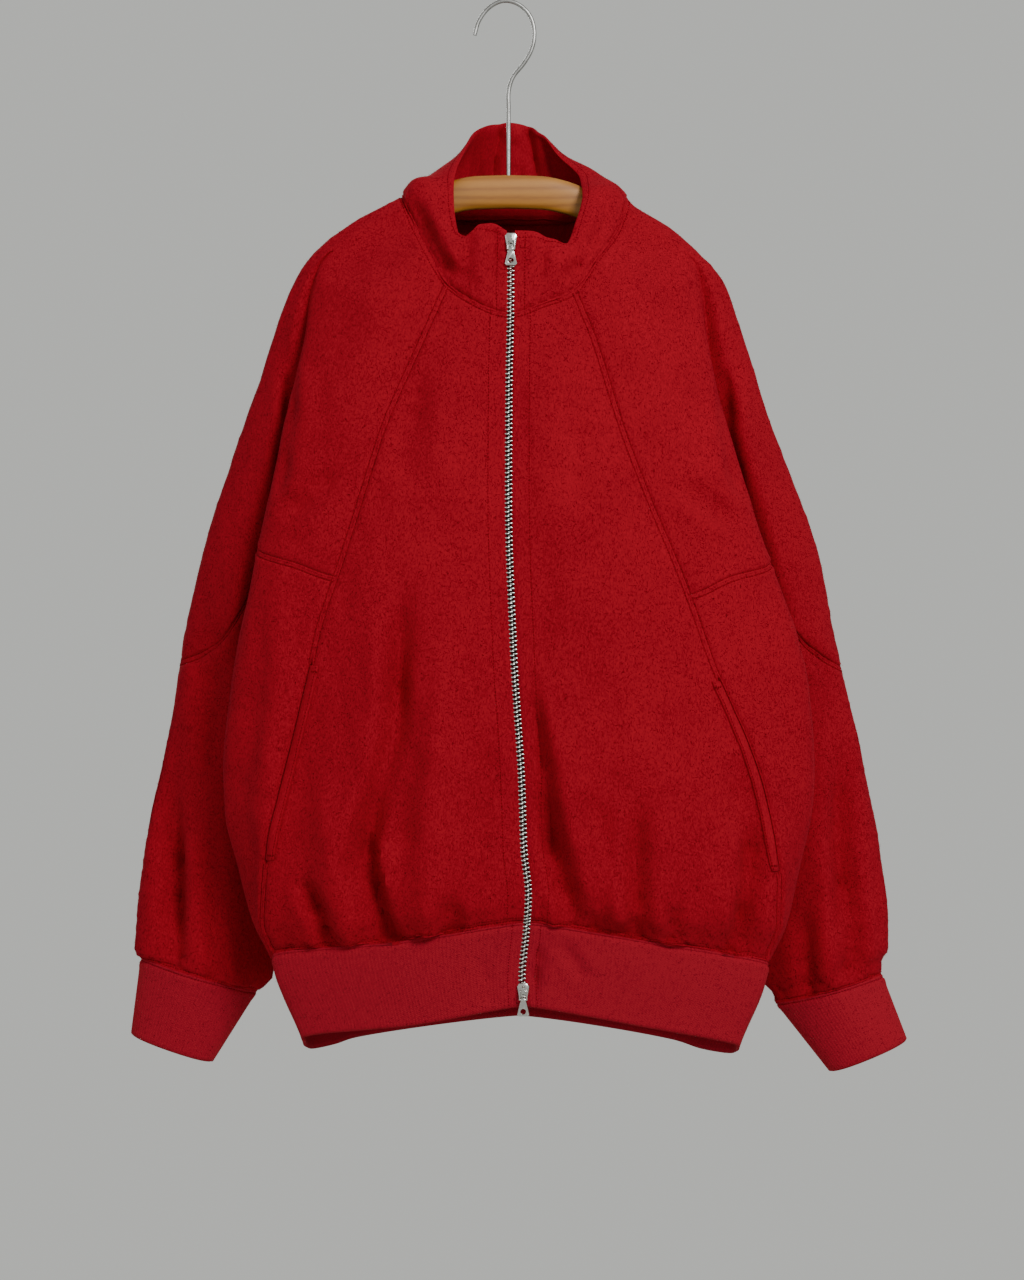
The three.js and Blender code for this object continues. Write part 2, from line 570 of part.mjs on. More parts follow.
// A closed wall from two layers of points in rows and columns; a tube joins its last column to its first.
// The edge faces are split from the point of lower rank, so that two walls meeting at a seam split alike.
function closedWall(outer, inner, flip, tube, rank) {
  const rows = outer.length;
  const columns = outer[0].length;
  const positions = [...outer.flat(), ...inner.flat()].flatMap((point) => point.toArray());
  const layer = rows * columns;
  const at = (r, c, side) => side * layer + r * columns + (c % columns);
  const triangles = [];
  const quad = (a, b, c, d) => {
    triangles.push(...(flip ? [a, c, b, a, d, c] : [a, b, c, a, c, d]));
  };
  const edge = ([r, c], [i, k]) => {
    const [a, b] = [at(r, c, 0), at(i, k, 0)];
    const [e, d] = [at(r, c, 1), at(i, k, 1)];
    if (rank(r, c) < rank(i, k)) quad(a, b, d, e);
    else quad(b, d, e, a);
  };
  const lastColumn = tube ? columns : columns - 1;
  for (let r = 0; r < rows - 1; r += 1) {
    for (let c = 0; c < lastColumn; c += 1) {
      quad(at(r, c + 1, 0), at(r + 1, c + 1, 0), at(r + 1, c, 0), at(r, c, 0));
      quad(at(r, c, 1), at(r + 1, c, 1), at(r + 1, c + 1, 1), at(r, c + 1, 1));
    }
    if (!tube) {
      edge([r, 0], [r + 1, 0]);
      edge([r + 1, columns - 1], [r, columns - 1]);
    }
  }
  for (let c = 0; c < lastColumn; c += 1) {
    edge([0, c + 1], [0, c]);
    edge([rows - 1, c], [rows - 1, c + 1]);
  }
  const geometry = new THREE.BufferGeometry();
  geometry.setAttribute('position', new THREE.Float32BufferAttribute(positions, 3));
  geometry.setIndex(triangles);
  geometry.computeVertexNormals();
  return geometry;
}

// How far the edge vertices of a patch draw back from the seam, square to the seam and in the cloth
function drawBack(mesh, r, c, tube) {
  const { index } = mesh;
  const rows = index.length - 1;
  const columns = index[0].length - 1;
  const pointAt = (i, k) => vertices[index[i][k]].point;
  const { normal, point } = vertices[index[r][c]];
  const shift = new THREE.Vector3();
  const pull = (before, after, inside) => {
    const along = new THREE.Vector3().subVectors(after, before);
    const away = new THREE.Vector3().crossVectors(normal, along);
    const inward = new THREE.Vector3().subVectors(inside, point);
    if (away.dot(inward) < 0) away.negate();
    const atTip = crotches.includes(index[r][c]);
    if (atTip || away.length() < 1e-6) away.copy(inward);
    const amount = atTip ? TIP_INSET : SEAM_GAP / 2;
    shift.addScaledVector(away.normalize(), amount);
  };
  const left = tube ? (c + columns - 1) % columns : Math.max(c - 1, 0);
  const right = tube ? (c + 1) % columns : Math.min(c + 1, columns);
  if (r === 0) pull(pointAt(0, left), pointAt(0, right), pointAt(1, c));
  if (r === rows) pull(pointAt(rows, left), pointAt(rows, right), pointAt(rows - 1, c));
  const above = Math.max(r - 1, 0);
  const below = Math.min(r + 1, rows);
  if (!tube && c === 0) pull(pointAt(above, 0), pointAt(below, 0), pointAt(r, 1));
  if (!tube && c === columns) pull(pointAt(above, columns), pointAt(below, columns), pointAt(r, columns - 1));
  return shift;
}

function clothWall(mesh, thickness) {
  const tube = mesh.name.startsWith('cuff');
  const columns = tube ? mesh.index[0].length - 1 : mesh.index[0].length;
  const layers = [0, thickness].map((depth) => mesh.index.map((row, r) => (
    row.slice(0, columns).map((k, c) => vertices[k].point.clone()
      .add(drawBack(mesh, r, c, tube)).addScaledVector(vertices[k].normal, -depth)))));
  return closedWall(layers[0], layers[1], mesh.flip, tube, (r, c) => mesh.index[r][c % columns]);
}

// Materials, colours as seen in soft light
const red = new THREE.MeshStandardMaterial({ color: '#9a0c18', roughness: 0.95, metalness: 0 });
const ribRed = new THREE.MeshStandardMaterial({ color: '#8e1018', roughness: 0.95, metalness: 0 });
const beech = new THREE.MeshStandardMaterial({ color: '#b98a4e', roughness: 0.4, metalness: 0 });
const nickel = new THREE.MeshStandardMaterial({ color: '#b9babb', roughness: 0.3, metalness: 1 });
const steel = new THREE.MeshStandardMaterial({ color: '#9a9b9c', roughness: 0.35, metalness: 1 });

const jacket = new THREE.Group();

function addMesh(name, geometry, material) {
  const mesh = new THREE.Mesh(geometry, material);
  mesh.name = name;
  jacket.add(mesh);
}

meshes.forEach((mesh) => {
  const banded = /rib|cuff|collar/.test(mesh.name);
  addMesh(mesh.name, clothWall(mesh, banded ? BAND : CLOTH), banded ? ribRed : red);
});

// Pocket welts lie on the front's outer strip, made from its points moved out
function weltGeometry(side) {
  const mesh = meshes.find(({ name }) => name === `front_${side}`);
  const last = mesh.index[0].length - 1;
  const rows = mesh.index.slice(YOKE_ROWS + WELT_ROWS[0], YOKE_ROWS + WELT_ROWS[1] + 1);
  const layers = [WELT_CLEARANCE + WELT, WELT_CLEARANCE].map((height) => rows.map((row) => [last - 1, last].map(
    (c) => {
      const { point, normal } = vertices[row[c]];
      const inward = new THREE.Vector3().subVectors(vertices[row[last - 1]].point, vertices[row[last]].point);
      inward.multiplyScalar((c === last ? SEAM_GAP : 0) / inward.length());
      return point.clone().add(inward).addScaledVector(normal, height);
    },
  )));
  return closedWall(layers[0], layers[1], mesh.flip, false, (r, c) => r + c);
}
['left', 'right'].forEach((side) => addMesh(`pocket_welt_${side}`, weltGeometry(side), red));

// Zip tapes follow the edges of the collar, the front and the rib; each is one strip with its row of teeth
function zipStations(side) {
  const take = (mesh, reverse) => mesh.index.map((row) => (
    reverse ? [row[row.length - 1], row[row.length - 2]] : [row[0], row[1]]));
  const find = (wanted) => meshes.find(({ name }) => name === wanted);
  const reverse = side === 'right';
  return [
    ...take(find('collar'), reverse),
    ...take(find(`front_${side}`), false).slice(1),
    ...take(find('hem_rib'), reverse).slice(1),
  ].map((pair) => pair.map((k) => vertices[k]));
}

function tapeGeometry(side) {
  const rings = zipStations(side).map(([edge, inside]) => {
    const across = new THREE.Vector3(SIGN[side], 0, 0);
    const centre = edge.point.clone().addScaledVector(across, -(CHAIN_HALF + CHAIN_EDGE_GAP));
    const back = new THREE.Vector3(0, -edge.normal.y, -edge.normal.z).normalize();
    const face = BAND + TAPE_CLEARANCE;
    const tapeEnd = inside.point.clone().addScaledVector(inside.normal, -face);
    const teeth = (from, depth) => centre.clone().addScaledVector(across, from).addScaledVector(back, depth);
    return [
      teeth(SEAM_GAP / 2, 0), teeth(CHAIN_HALF, 0), teeth(CHAIN_HALF, face), tapeEnd,
      tapeEnd.clone().addScaledVector(inside.normal, -TAPE), teeth(SEAM_GAP / 2, face + TAPE),
    ];
  });
  return loft(rings, side === 'left');
}

// A closed solid through rings with the same number of points, with flat fans over both ends
function loft(rings, flip) {
  const count = rings[0].length;
  const centre = (ring) => ring.reduce((sum, p) => sum.add(p), new THREE.Vector3()).divideScalar(count);
  const positions = [...rings.flat(), centre(rings[0]), centre(rings[rings.length - 1])]
    .flatMap((point) => point.toArray());
  const triangles = [];
  const push = (a, b, c) => triangles.push(...(flip ? [a, c, b] : [a, b, c]));
  const first = rings.length * count;
  const lastStart = (rings.length - 1) * count;
  for (let k = 0; k < count; k += 1) {
    const next = (k + 1) % count;
    for (let r = 0; r + 1 < rings.length; r += 1) {
      push(r * count + k, (r + 1) * count + k, (r + 1) * count + next);
      push(r * count + k, (r + 1) * count + next, r * count + next);
    }
    push(first, k, next);
    push(first + 1, lastStart + next, lastStart + k);
  }
  const geometry = new THREE.BufferGeometry();
  geometry.setAttribute('position', new THREE.Float32BufferAttribute(positions, 3));
  geometry.setIndex(triangles);
  geometry.computeVertexNormals();
  return geometry;
}
['left', 'right'].forEach((side) => addMesh(`zip_tape_${side}`, tapeGeometry(side), ribRed));

// Joins and cuts on closed geometries
function toSolid(geometry) {
  const bare = geometry.index ? geometry.clone() : geometry;
  bare.deleteAttribute('normal');
  if (bare.attributes.uv) bare.deleteAttribute('uv');
  const merged = mergeVertices(bare, 1e-4);
  return new wasm.Manifold(new wasm.Mesh({
    numProp: 3,
    vertProperties: new Float32Array(merged.attributes.position.array),
    triVerts: new Uint32Array(merged.index.array),
  }));
}

function toGeometry(solid) {
  const { vertProperties, triVerts } = solid.getMesh();
  const geometry = new THREE.BufferGeometry();
  geometry.setAttribute('position', new THREE.Float32BufferAttribute(vertProperties, 3));
  geometry.setIndex([...triVerts]);
  geometry.computeVertexNormals();
  return geometry;
}

// Wooden hanger: rings of a rounded bar along X, with a blind hole for the hook's shaft
function hangerGeometry() {
  const reach = HANGER[HANGER.length - 1][0];
  const rings = [];
  for (let step = -HANGER_STEPS; step <= HANGER_STEPS; step += 1) {
    const away = reach * Math.sin((Math.PI / 2) * Math.abs(step / HANGER_STEPS));
    const top = sample(HANGER, 1, away);
    const under = sample(HANGER, 2, away);
    const x = SHAFT_X + Math.sign(step) * away;
    const thin = HANGER_HALF_THICKNESS * Math.min(1, (top - under) / 20);
    rings.push(Array.from({ length: HANGER_RING }, (_, k) => {
      const angle = (2 * Math.PI * k) / HANGER_RING;
      const round = (value, power) => Math.sign(value) * Math.abs(value) ** power;
      return new THREE.Vector3(
        x, thin * round(Math.cos(angle), 0.75), (top + under) / 2 + ((top - under) / 2) * round(Math.sin(angle), 0.9),
      );
    }));
  }
  const hole = new THREE.CylinderGeometry(HOLE_RADIUS, HOLE_RADIUS, 40, 12).rotateX(Math.PI / 2);
  const shaftEnd = HOOK_ROUTE[HOOK_ROUTE.length - 1][1];
  hole.translate(SHAFT_X, 0, shaftEnd - SEAM_GAP + 20);
  return toGeometry(toSolid(loft(rings, true)).subtract(toSolid(hole)));
}
addMesh('hanger_wood', hangerGeometry(), beech);

function hookGeometry() {
  const route = new THREE.CatmullRomCurve3(
    HOOK_ROUTE.map(([x, z]) => new THREE.Vector3(x, 0, z)), false, 'centripetal',
  );
  const section = new THREE.Shape();
  section.absarc(0, 0, WIRE_RADIUS, 0, 2 * Math.PI);
  return new THREE.ExtrudeGeometry(section, { extrudePath: route, steps: HOOK_STEPS, curveSegments: 8 });
}
addMesh('hanger_hook', hookGeometry(), steel);

// Flat outline in X and Z, extruded along Y from its front face backwards
function plate(shape, thickness, frontY) {
  const geometry = new THREE.ExtrudeGeometry(shape, { depth: thickness, bevelEnabled: false, curveSegments: 10 });
  geometry.rotateX(Math.PI / 2);
  geometry.translate(0, frontY + thickness, 0);
  return geometry;
}

// Outline in Y and Z, extruded along X about the middle
function across(shape, width) {
  const geometry = new THREE.ExtrudeGeometry(shape, { depth: width, bevelEnabled: false, curveSegments: 10 });
  geometry.rotateY(Math.PI / 2).rotateX(Math.PI / 2);
  geometry.translate(-width / 2, 0, 0);
  return geometry;
}

// An outline always runs anticlockwise, so that its holes are cut whichever way they are given
function polygon(points) {
  const corners = points.map(([u, v]) => new THREE.Vector2(u, v));
  return new THREE.Shape(THREE.ShapeUtils.isClockWise(corners) ? corners.reverse() : corners);
}

// Sliders with their bails and tabs; y runs back from the face of the teeth
function addSlider(place, { x, z }) {
  const { width, height, thickness } = SLIDER;
  const faceY = Math.min(...[-1, 0, 1].map((end) => sample(ZIP, 3, z + (end * height) / 2))) - SEAM_GAP;
  const outline = polygon([
    [-width / 2, height / 2 - 2.5], [-width / 2 + 1.8, height / 2], [width / 2 - 1.8, height / 2],
    [width / 2, height / 2 - 2.5], [width / 2 - 1.6, -height / 2], [-width / 2 + 1.6, -height / 2],
  ]);
  const body = plate(outline, thickness, faceY - thickness);
  const arch = polygon([
    [0, BRIDGE.height / 2], [BRIDGE.reach, BRIDGE.height / 2 - 1.2], [BRIDGE.reach, -BRIDGE.height / 2 + 1.2],
    [0, -BRIDGE.height / 2],
  ]);
  const inside = BRIDGE.height / 2 - BRIDGE.wall - 0.4;
  arch.holes.push(new THREE.Path([
    [0.35, inside - 0.3], [BRIDGE.reach - BRIDGE.wall, inside - 0.9],
    [BRIDGE.reach - BRIDGE.wall, -inside + 0.9], [0.35, -inside + 0.3],
  ].map(([u, v]) => new THREE.Vector2(u, v))));
  const bridge = across(arch, BRIDGE.width);
  bridge.rotateZ(Math.PI);
  bridge.translate(0, faceY - thickness + 0.2, 0);
  const slider = toGeometry(toSolid(body).add(toSolid(bridge)));
  slider.translate(x, 0, z);
  addMesh(`slider_${place}`, slider, nickel);

  const hingeY = faceY - thickness - BRIDGE.reach / 2 + 0.35;
  const hingeZ = z - inside + 0.9 + BAIL.wire / 2 + SEAM_GAP;
  const ring = polygon([
    [-BAIL.width / 2, BAIL.wire / 2], [BAIL.width / 2, BAIL.wire / 2],
    [BAIL.width / 2, BAIL.wire / 2 - BAIL.height], [-BAIL.width / 2, BAIL.wire / 2 - BAIL.height],
  ]);
  const half = BAIL.width / 2 - BAIL.wire;
  ring.holes.push(new THREE.Path([
    [-half, -BAIL.wire / 2], [half, -BAIL.wire / 2], [half, BAIL.wire * 1.5 - BAIL.height],
    [-half, BAIL.wire * 1.5 - BAIL.height],
  ].map(([u, v]) => new THREE.Vector2(u, v))));
  const bail = plate(ring, BAIL.wire, hingeY - BAIL.wire / 2);
  bail.translate(x, 0, hingeZ);
  addMesh(`bail_${place}`, bail, nickel);

  const tabZ = hingeZ + BAIL.wire - BAIL.height;
  const knuckle = new THREE.Shape();
  knuckle.absarc(0, 0, KNUCKLE.radius, 0, 2 * Math.PI);
  knuckle.holes.push(new THREE.Path().absarc(0, 0, KNUCKLE.bore, 0, 2 * Math.PI));
  const barrel = across(knuckle, KNUCKLE.width);
  const leafShape = polygon([
    [-KNUCKLE.width / 2, -KNUCKLE.bore - 0.25], [KNUCKLE.width / 2, -KNUCKLE.bore - 0.25],
    [TAB.top / 2, -2.6], [TAB.bottom / 2, -TAB.length + 1.5], [TAB.bottom / 2 - 1.4, -TAB.length],
    [-TAB.bottom / 2 + 1.4, -TAB.length], [-TAB.bottom / 2, -TAB.length + 1.5], [-TAB.top / 2, -2.6],
  ]);
  leafShape.holes.push(new THREE.Path().absarc(0, 4.2 - TAB.length, TAB.hole, 0, 2 * Math.PI));
  const leaf = plate(leafShape, TAB.thickness, -TAB.thickness / 2);
  const tab = toGeometry(toSolid(barrel).add(toSolid(leaf)));
  tab.translate(x, hingeY, tabZ);
  addMesh(`tab_${place}`, tab, nickel);
}
addSlider('top', SLIDER_PLACES.top);
addSlider('bottom', SLIDER_PLACES.bottom);

export default jacket;
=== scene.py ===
"""Looks of a red zip-up track jacket on a wooden hanger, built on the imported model's frame, in metres.

Table values are millimetres: the origin is the inside of the hook's crown, +Z is up, the front faces -Y.
"""

import logging
import math
from dataclasses import dataclass, field
from enum import Enum

import bpy
import numpy as np
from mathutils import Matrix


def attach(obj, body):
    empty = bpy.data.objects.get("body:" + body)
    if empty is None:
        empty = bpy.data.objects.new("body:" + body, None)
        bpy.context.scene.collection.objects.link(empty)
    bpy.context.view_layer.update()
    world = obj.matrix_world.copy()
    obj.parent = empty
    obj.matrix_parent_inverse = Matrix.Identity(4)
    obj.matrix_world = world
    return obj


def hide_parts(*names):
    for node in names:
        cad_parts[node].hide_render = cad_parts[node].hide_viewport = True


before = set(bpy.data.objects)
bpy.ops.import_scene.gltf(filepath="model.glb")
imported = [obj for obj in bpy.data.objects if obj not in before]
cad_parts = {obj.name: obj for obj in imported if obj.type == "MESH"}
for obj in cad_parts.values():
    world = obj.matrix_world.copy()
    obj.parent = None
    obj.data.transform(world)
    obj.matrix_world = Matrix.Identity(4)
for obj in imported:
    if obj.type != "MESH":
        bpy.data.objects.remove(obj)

logging.basicConfig(level=logging.INFO, format="%(message)s")
LOG = logging.getLogger("jacket")
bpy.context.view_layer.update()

MM = 0.001
SEED = 41
RIB_NAP = 0.12
GARMENT = "garment"
YOKE_ROWS = 13
BODY_ROWS = 12
SLEEVE_ROWS = 12
CROWDING = 1.35
CLOTH = 2.4
BAND = 3.2
COLLAR_HEIGHT = 90.0
RIB_HEIGHT = 74.0
CUFF_HEIGHT = 64.0
CUFF_DEPTH = (38.0, 21.0)
ZIP_EDGE = 3.6
SEAM_ROW = 2.8
HEM_ROW = 6.4
FACING_ROW = 14.5
BAND_ROW = 9.0
SEAM_ANGLE = math.radians(62)
WELT_ANGLE = math.radians(70)
METAL_ANGLE = math.radians(50)
WORN_ANGLE = math.radians(35)

Table = list[tuple[float, ...]]
Array = np.ndarray
Socket = bpy.types.NodeSocket

RIBBED = ("hem_rib", "cuff")
BANDS = ("collar", *RIBBED)


class Side(Enum):
    """The viewer's left and right half of the garment."""

    LEFT = "left"
    RIGHT = "right"

    @property
    def sign(self) -> int:
        """Sign of X on this side."""
        return -1 if self is Side.LEFT else 1

    @property
    def column(self) -> int:
        """Column of X in the line tables."""
        return 1 if self is Side.LEFT else 2

    @property
    def place(self) -> int:
        """Place of this side in a pair."""
        return self.column - 1


# Lines that run down the garment: height z, x of the left line, x of the right line, depth y
ZIP: Table = [
    (-215, 6.3, 6.3, -60), (-251, 6.3, 6.3, -61), (-288, 5.9, 5.9, -62), (-347, 4.6, 4.6, -69),
    (-451, 4.2, 4.2, -76), (-582, 8.5, 8.5, -80), (-695, 15.5, 15.5, -82), (-756, 17.6, 17.6, -82),
    (-795, 21.5, 21.5, -81), (-826, 19.8, 19.8, -73), (-869, 16, 16, -65), (-896, 17, 17, -63),
]
QUARTER: Table = [
    (-279, -22, 34, -60), (-347, -40, 45, -72), (-451, -61, 66, -82), (-582, -82, 92, -86),
    (-695, -92, 120, -86), (-770, -94, 130, -85), (-812, -94, 130, -79), (-832, -92, 128, -67),
]
RAGLAN: Table = [
    (-260, -50.5, 60, -51), (-311, -72.5, 80, -60), (-384, -104, 102, -66), (-436, -121, 121.5, -68),
    (-517, -147, 155, -69), (-563, -162.5, 171.5, -69), (-598, -170, 184, -69), (-666, -186, 214.5, -66),
    (-704, -195, 226.5, -64), (-755, -206, 237, -61), (-790, -211, 242, -58), (-823, -213, 242, -52),
    (-851, -204, 233, -42),
]
FOLD: Table = [
    (-208, -78, 96, -23), (-222, -116, 128, -21), (-238, -150, 158, -20), (-252, -166, 170, -20),
    (-275, -169, 173, -22), (-310, -177, 179.5, -26), (-362, -191, 190.5, -31), (-430, -204, 212, -35),
    (-498, -219, 234, -37), (-537, -227, 247.5, -37), (-575, -235, 260, -36), (-617, -241.5, 270.5, -34),
    (-686, -248.5, 276, -30), (-724, -248, 274, -28), (-771, -238, 265, -26), (-824, -224, 252.5, -23),
    (-850, -213, 242, -20), (-862, -204, 235, -18),
]
VALLEY: Table = [
    (-190, -86, 104, -13), (-214, -136, 146, -14), (-236, -164, 171, -12), (-262, -173, 178, -10),
    (-310, -178, 184, -6), (-362, -184, 192, -2), (-430, -194, 207, 5), (-480, -205, 219, 15),
]
OUTLINE: Table = [
    (-174, -92, 110, 3), (-181, -108, 118, 2), (-194, -130, 135, 0), (-208, -148, 155, 0),
    (-222, -166, 171, 0), (-236, -180, 187, 0), (-250, -189, 198, 2), (-272, -199, 206, 5),
    (-304, -211, 216.5, 11),
    (-341, -223, 229, 16), (-415, -248.5, 258, 25), (-503, -277, 289, 35), (-594, -297, 308, 46),
    (-684, -312, 327.5, 50), (-764, -328, 344.5, 48), (-832, -337, 352.5, 43), (-856, -337, 352, 40),
    (-866, -330, 346, 40),
]
BACK_FOLD: Table = [
    (-180, -88, 107, 14), (-206, -138, 148, 15), (-236, -167, 174, 17), (-272, -175, 181, 27),
    (-341, -178, 185, 44), (-415, -180, 190, 56), (-510, -186, 198, 66),
]
BACK_VALLEY: Table = [
    (-184, -84, 102, 20), (-212, -130, 141, 20), (-240, -162, 168, 22), (-272, -174, 180, 26),
    (-341, -187, 194, 30), (-415, -197, 208, 25), (-480, -205, 219, 15),
]
SIDE_LINE: Table = [
    (-480, -205, 219, 15), (-520, -217, 231, 4), (-560, -226, 246, -3), (-600, -233, 259, -8),
    (-690, -240, 267, -8), (-770, -230, 257, -6), (-824, -216, 244, -3), (-866, -199, 230, 0),
]
BACK_RAGLAN: Table = [
    (-187, -62, 78, 40), (-250, -82, 94, 49), (-350, -108, 118, 53), (-430, -126, 136, 50),
    (-500, -138, 150, 42), (-600, -146, 162, 36), (-700, -154, 172, 40), (-800, -160, 178, 44),
    (-838, -158, 176, 42), (-862, -154, 172, 36),
]
BACK_CENTRE: Table = [
    (-188, 4, 4, 49), (-250, 4, 4, 60), (-350, 4, 4, 66), (-500, 6, 6, 69), (-700, 10, 10, 70),
    (-800, 13, 13, 66), (-842, 14, 14, 52),
]
INNER_ARM: Table = [
    (-480, -205, 219, 15), (-520, -193, 207, 32), (-560, -182, 194, 44), (-600, -173, 186, 52),
    (-700, -186, 204, 54), (-800, -204, 218, 52), (-862, -211, 228, 46), (-882, -213, 234, 42),
    (-896, -228, 248, 40),
]
ARM_FRONT: Table = [
    (-182, -9), (-208, -11), (-236, -12), (-272, -11), (-341, -7), (-415, -5), (-546, 2), (-600, 10),
    (-700, 12), (-800, 13), (-860, 6), (-892, 15),
]
ARM_BACK: Table = [
    (-177, 11), (-208, 12), (-236, 14), (-272, 22), (-341, 42), (-415, 62), (-552, 86), (-600, 92),
    (-700, 94), (-800, 90), (-860, 80), (-892, 66),
]

# Heights at which each line starts at the neck, crosses the underarm and ends: left, then right
HEIGHTS: dict[str, tuple[tuple[float, ...], tuple[float, ...]]] = {
    "quarter": ((-280, -540, -837), (-279, -545, -837)),
    "raglan": ((-260, -520, -851), (-266, -536, -858)),
    "middle": ((-236, -508, -857), (-238, -520, -862)),
    "fold": ((-208, -496, -862), (-210, -508, -866)),
    "valley": ((-190, -480), (-192, -486)),
    "outline": ((-174, -594, -863), (-176, -600, -879)),
    "back_fold": ((-180, -510), (-182, -518)),
    "back_valley": ((-184, -480), (-186, -486)),
    "side": ((-480, -866), (-486, -870)),
    "back_middle": ((-186, -490, -864), (-188, -496, -868)),
    "back_raglan": ((-187, -500, -860), (-188, -506, -862)),
    "back_centre": ((-188, -505, -842), (-188, -505, -842)),
    "inner_arm": ((-480, -894), (-486, -905)),
    "front_arm": ((-182, -568, -878), (-184, -569, -892)),
    "back_arm": ((-177, -552, -878), (-179, -558, -892)),
}
ZIP_HEIGHTS = (-288, -820)

# Collar's top edge: share of the way round from the left front corner, then x, y and z
COLLAR_TOP: Table = [
    (0.0, 2.7, -60, -215), (0.05, -10, -60, -209), (0.1, -22, -58, -208), (0.15, -33, -55, -217),
    (0.2, -40, -50, -214), (0.25, -45, -38, -190), (0.31, -46, -18, -162), (0.38, -40, 12, -136),
    (0.44, -26, 38, -108), (0.5, 3, 50, -99.6), (0.56, 30, 44, -106), (0.62, 50, 26, -130),
    (0.69, 70, 2, -156), (0.75, 71, -24, -176), (0.8, 64, -42, -204), (0.85, 55, -52, -224),
    (0.9, 40, -57, -219), (0.95, 25, -60, -215), (1.0, 9.9, -60, -215),
]
# Further rise of the collar between its edges: share of the way round, spread and height
COLLAR_RISES = (
    (0.15, 0.05, -8.0), (0.4, 0.055, 10.0), (0.61, 0.055, 8.0), (0.71, 0.04, -6.0), (0.85, 0.05, -8.0),
)
CUFF_END = {
    Side.LEFT: ((-341, -932), (-266, -958)),
    Side.RIGHT: ((368, -937), (297, -967)),
}


def smooth(t: Array | float) -> Array:
    """Ease from 0 to 1 over t from 0 to 1."""
    s = np.clip(t, 0.0, 1.0)
    return s * s * (3 - 2 * s)


def mix(a: Array | float, b: Array | float, t: Array | float) -> Array:
    """Straight blend from a to b."""
    return a + (b - a) * t


def sample(table: Table, column: int, key: Array | float) -> Array:
    """Monotone cubic interpolation of one column of a table.

    Args:
        table: Rows whose first value falls or rises steadily.
        column: The column to read.
        key: The value or values to look up in the first column.

    Returns:
        The column's value at each key, held at the table's ends.
    """
    rows = np.array(sorted(table), float)
    x, y = rows[:, 0], rows[:, column]
    place = np.clip(np.asarray(key, float), x[0], x[-1])
    k = np.clip(np.searchsorted(x, place, side="left") - 1, 0, len(x) - 2)
    slope = np.diff(y) / np.diff(x)
    before, after = slope[:-1], slope[1:]
    total = np.where(np.abs(before + after) < 1e-12, 1.0, before + after)
    inner = np.where(before * after <= 0, 0.0, 2 * before * after / total)
    tangent = np.concatenate([[slope[0]], inner, [slope[-1]]])
    width = x[k + 1] - x[k]
    t = (place - x[k]) / width
    t2, t3 = t * t, t * t * t
    return ((2 * t3 - 3 * t2 + 1) * y[k] + (t3 - 2 * t2 + t) * width * tangent[k]
            + (3 * t2 - 2 * t3) * y[k + 1] + (t3 - t2) * width * tangent[k + 1])


def unit(vectors: Array) -> Array:
    """The same vectors at length one."""
    return vectors / np.linalg.norm(vectors, axis=-1, keepdims=True)


def run_length(points: Array) -> Array:
    """Length from the first point of a run to each of its points."""
    return np.concatenate([[0.0], np.cumsum(np.linalg.norm(np.diff(points, axis=0), axis=1))])


def at_lengths(wanted: Array | float, along: Array, values: Array) -> Array:
    """Values of a run of points or vectors at given lengths along it."""
    return np.stack([np.interp(wanted, along, values[:, k]) for k in range(3)], axis=-1)


def on_line(table: Table, side: Side, z: float) -> Array:
    """Point of a garment line at a height."""
    return np.array([sample(table, side.column, z), sample(table, 3, z), z], float)


def height_on(name: str, side: Side, i: float) -> float:
    """Height of a line on row i: neck to underarm over the first rows, then on to the rib."""
    stops = HEIGHTS[name][side.place]
    if i <= YOKE_ROWS:
        return float(mix(stops[0], stops[1], (i / YOKE_ROWS) ** CROWDING))
    return float(mix(stops[1], stops[2], (i - YOKE_ROWS) / BODY_ROWS))


def lower_height(name: str, side: Side, t: float) -> float:
    """Height of a line of the lower sleeve at share t of its length."""
    stops = HEIGHTS[name][side.place][-2:]
    return float(mix(stops[0], stops[1], t))


def beyond(point: Array, start: Array, share: float = 0.6) -> Array:
    """Point carried on past itself, away from start."""
    return point + (point - start) * share


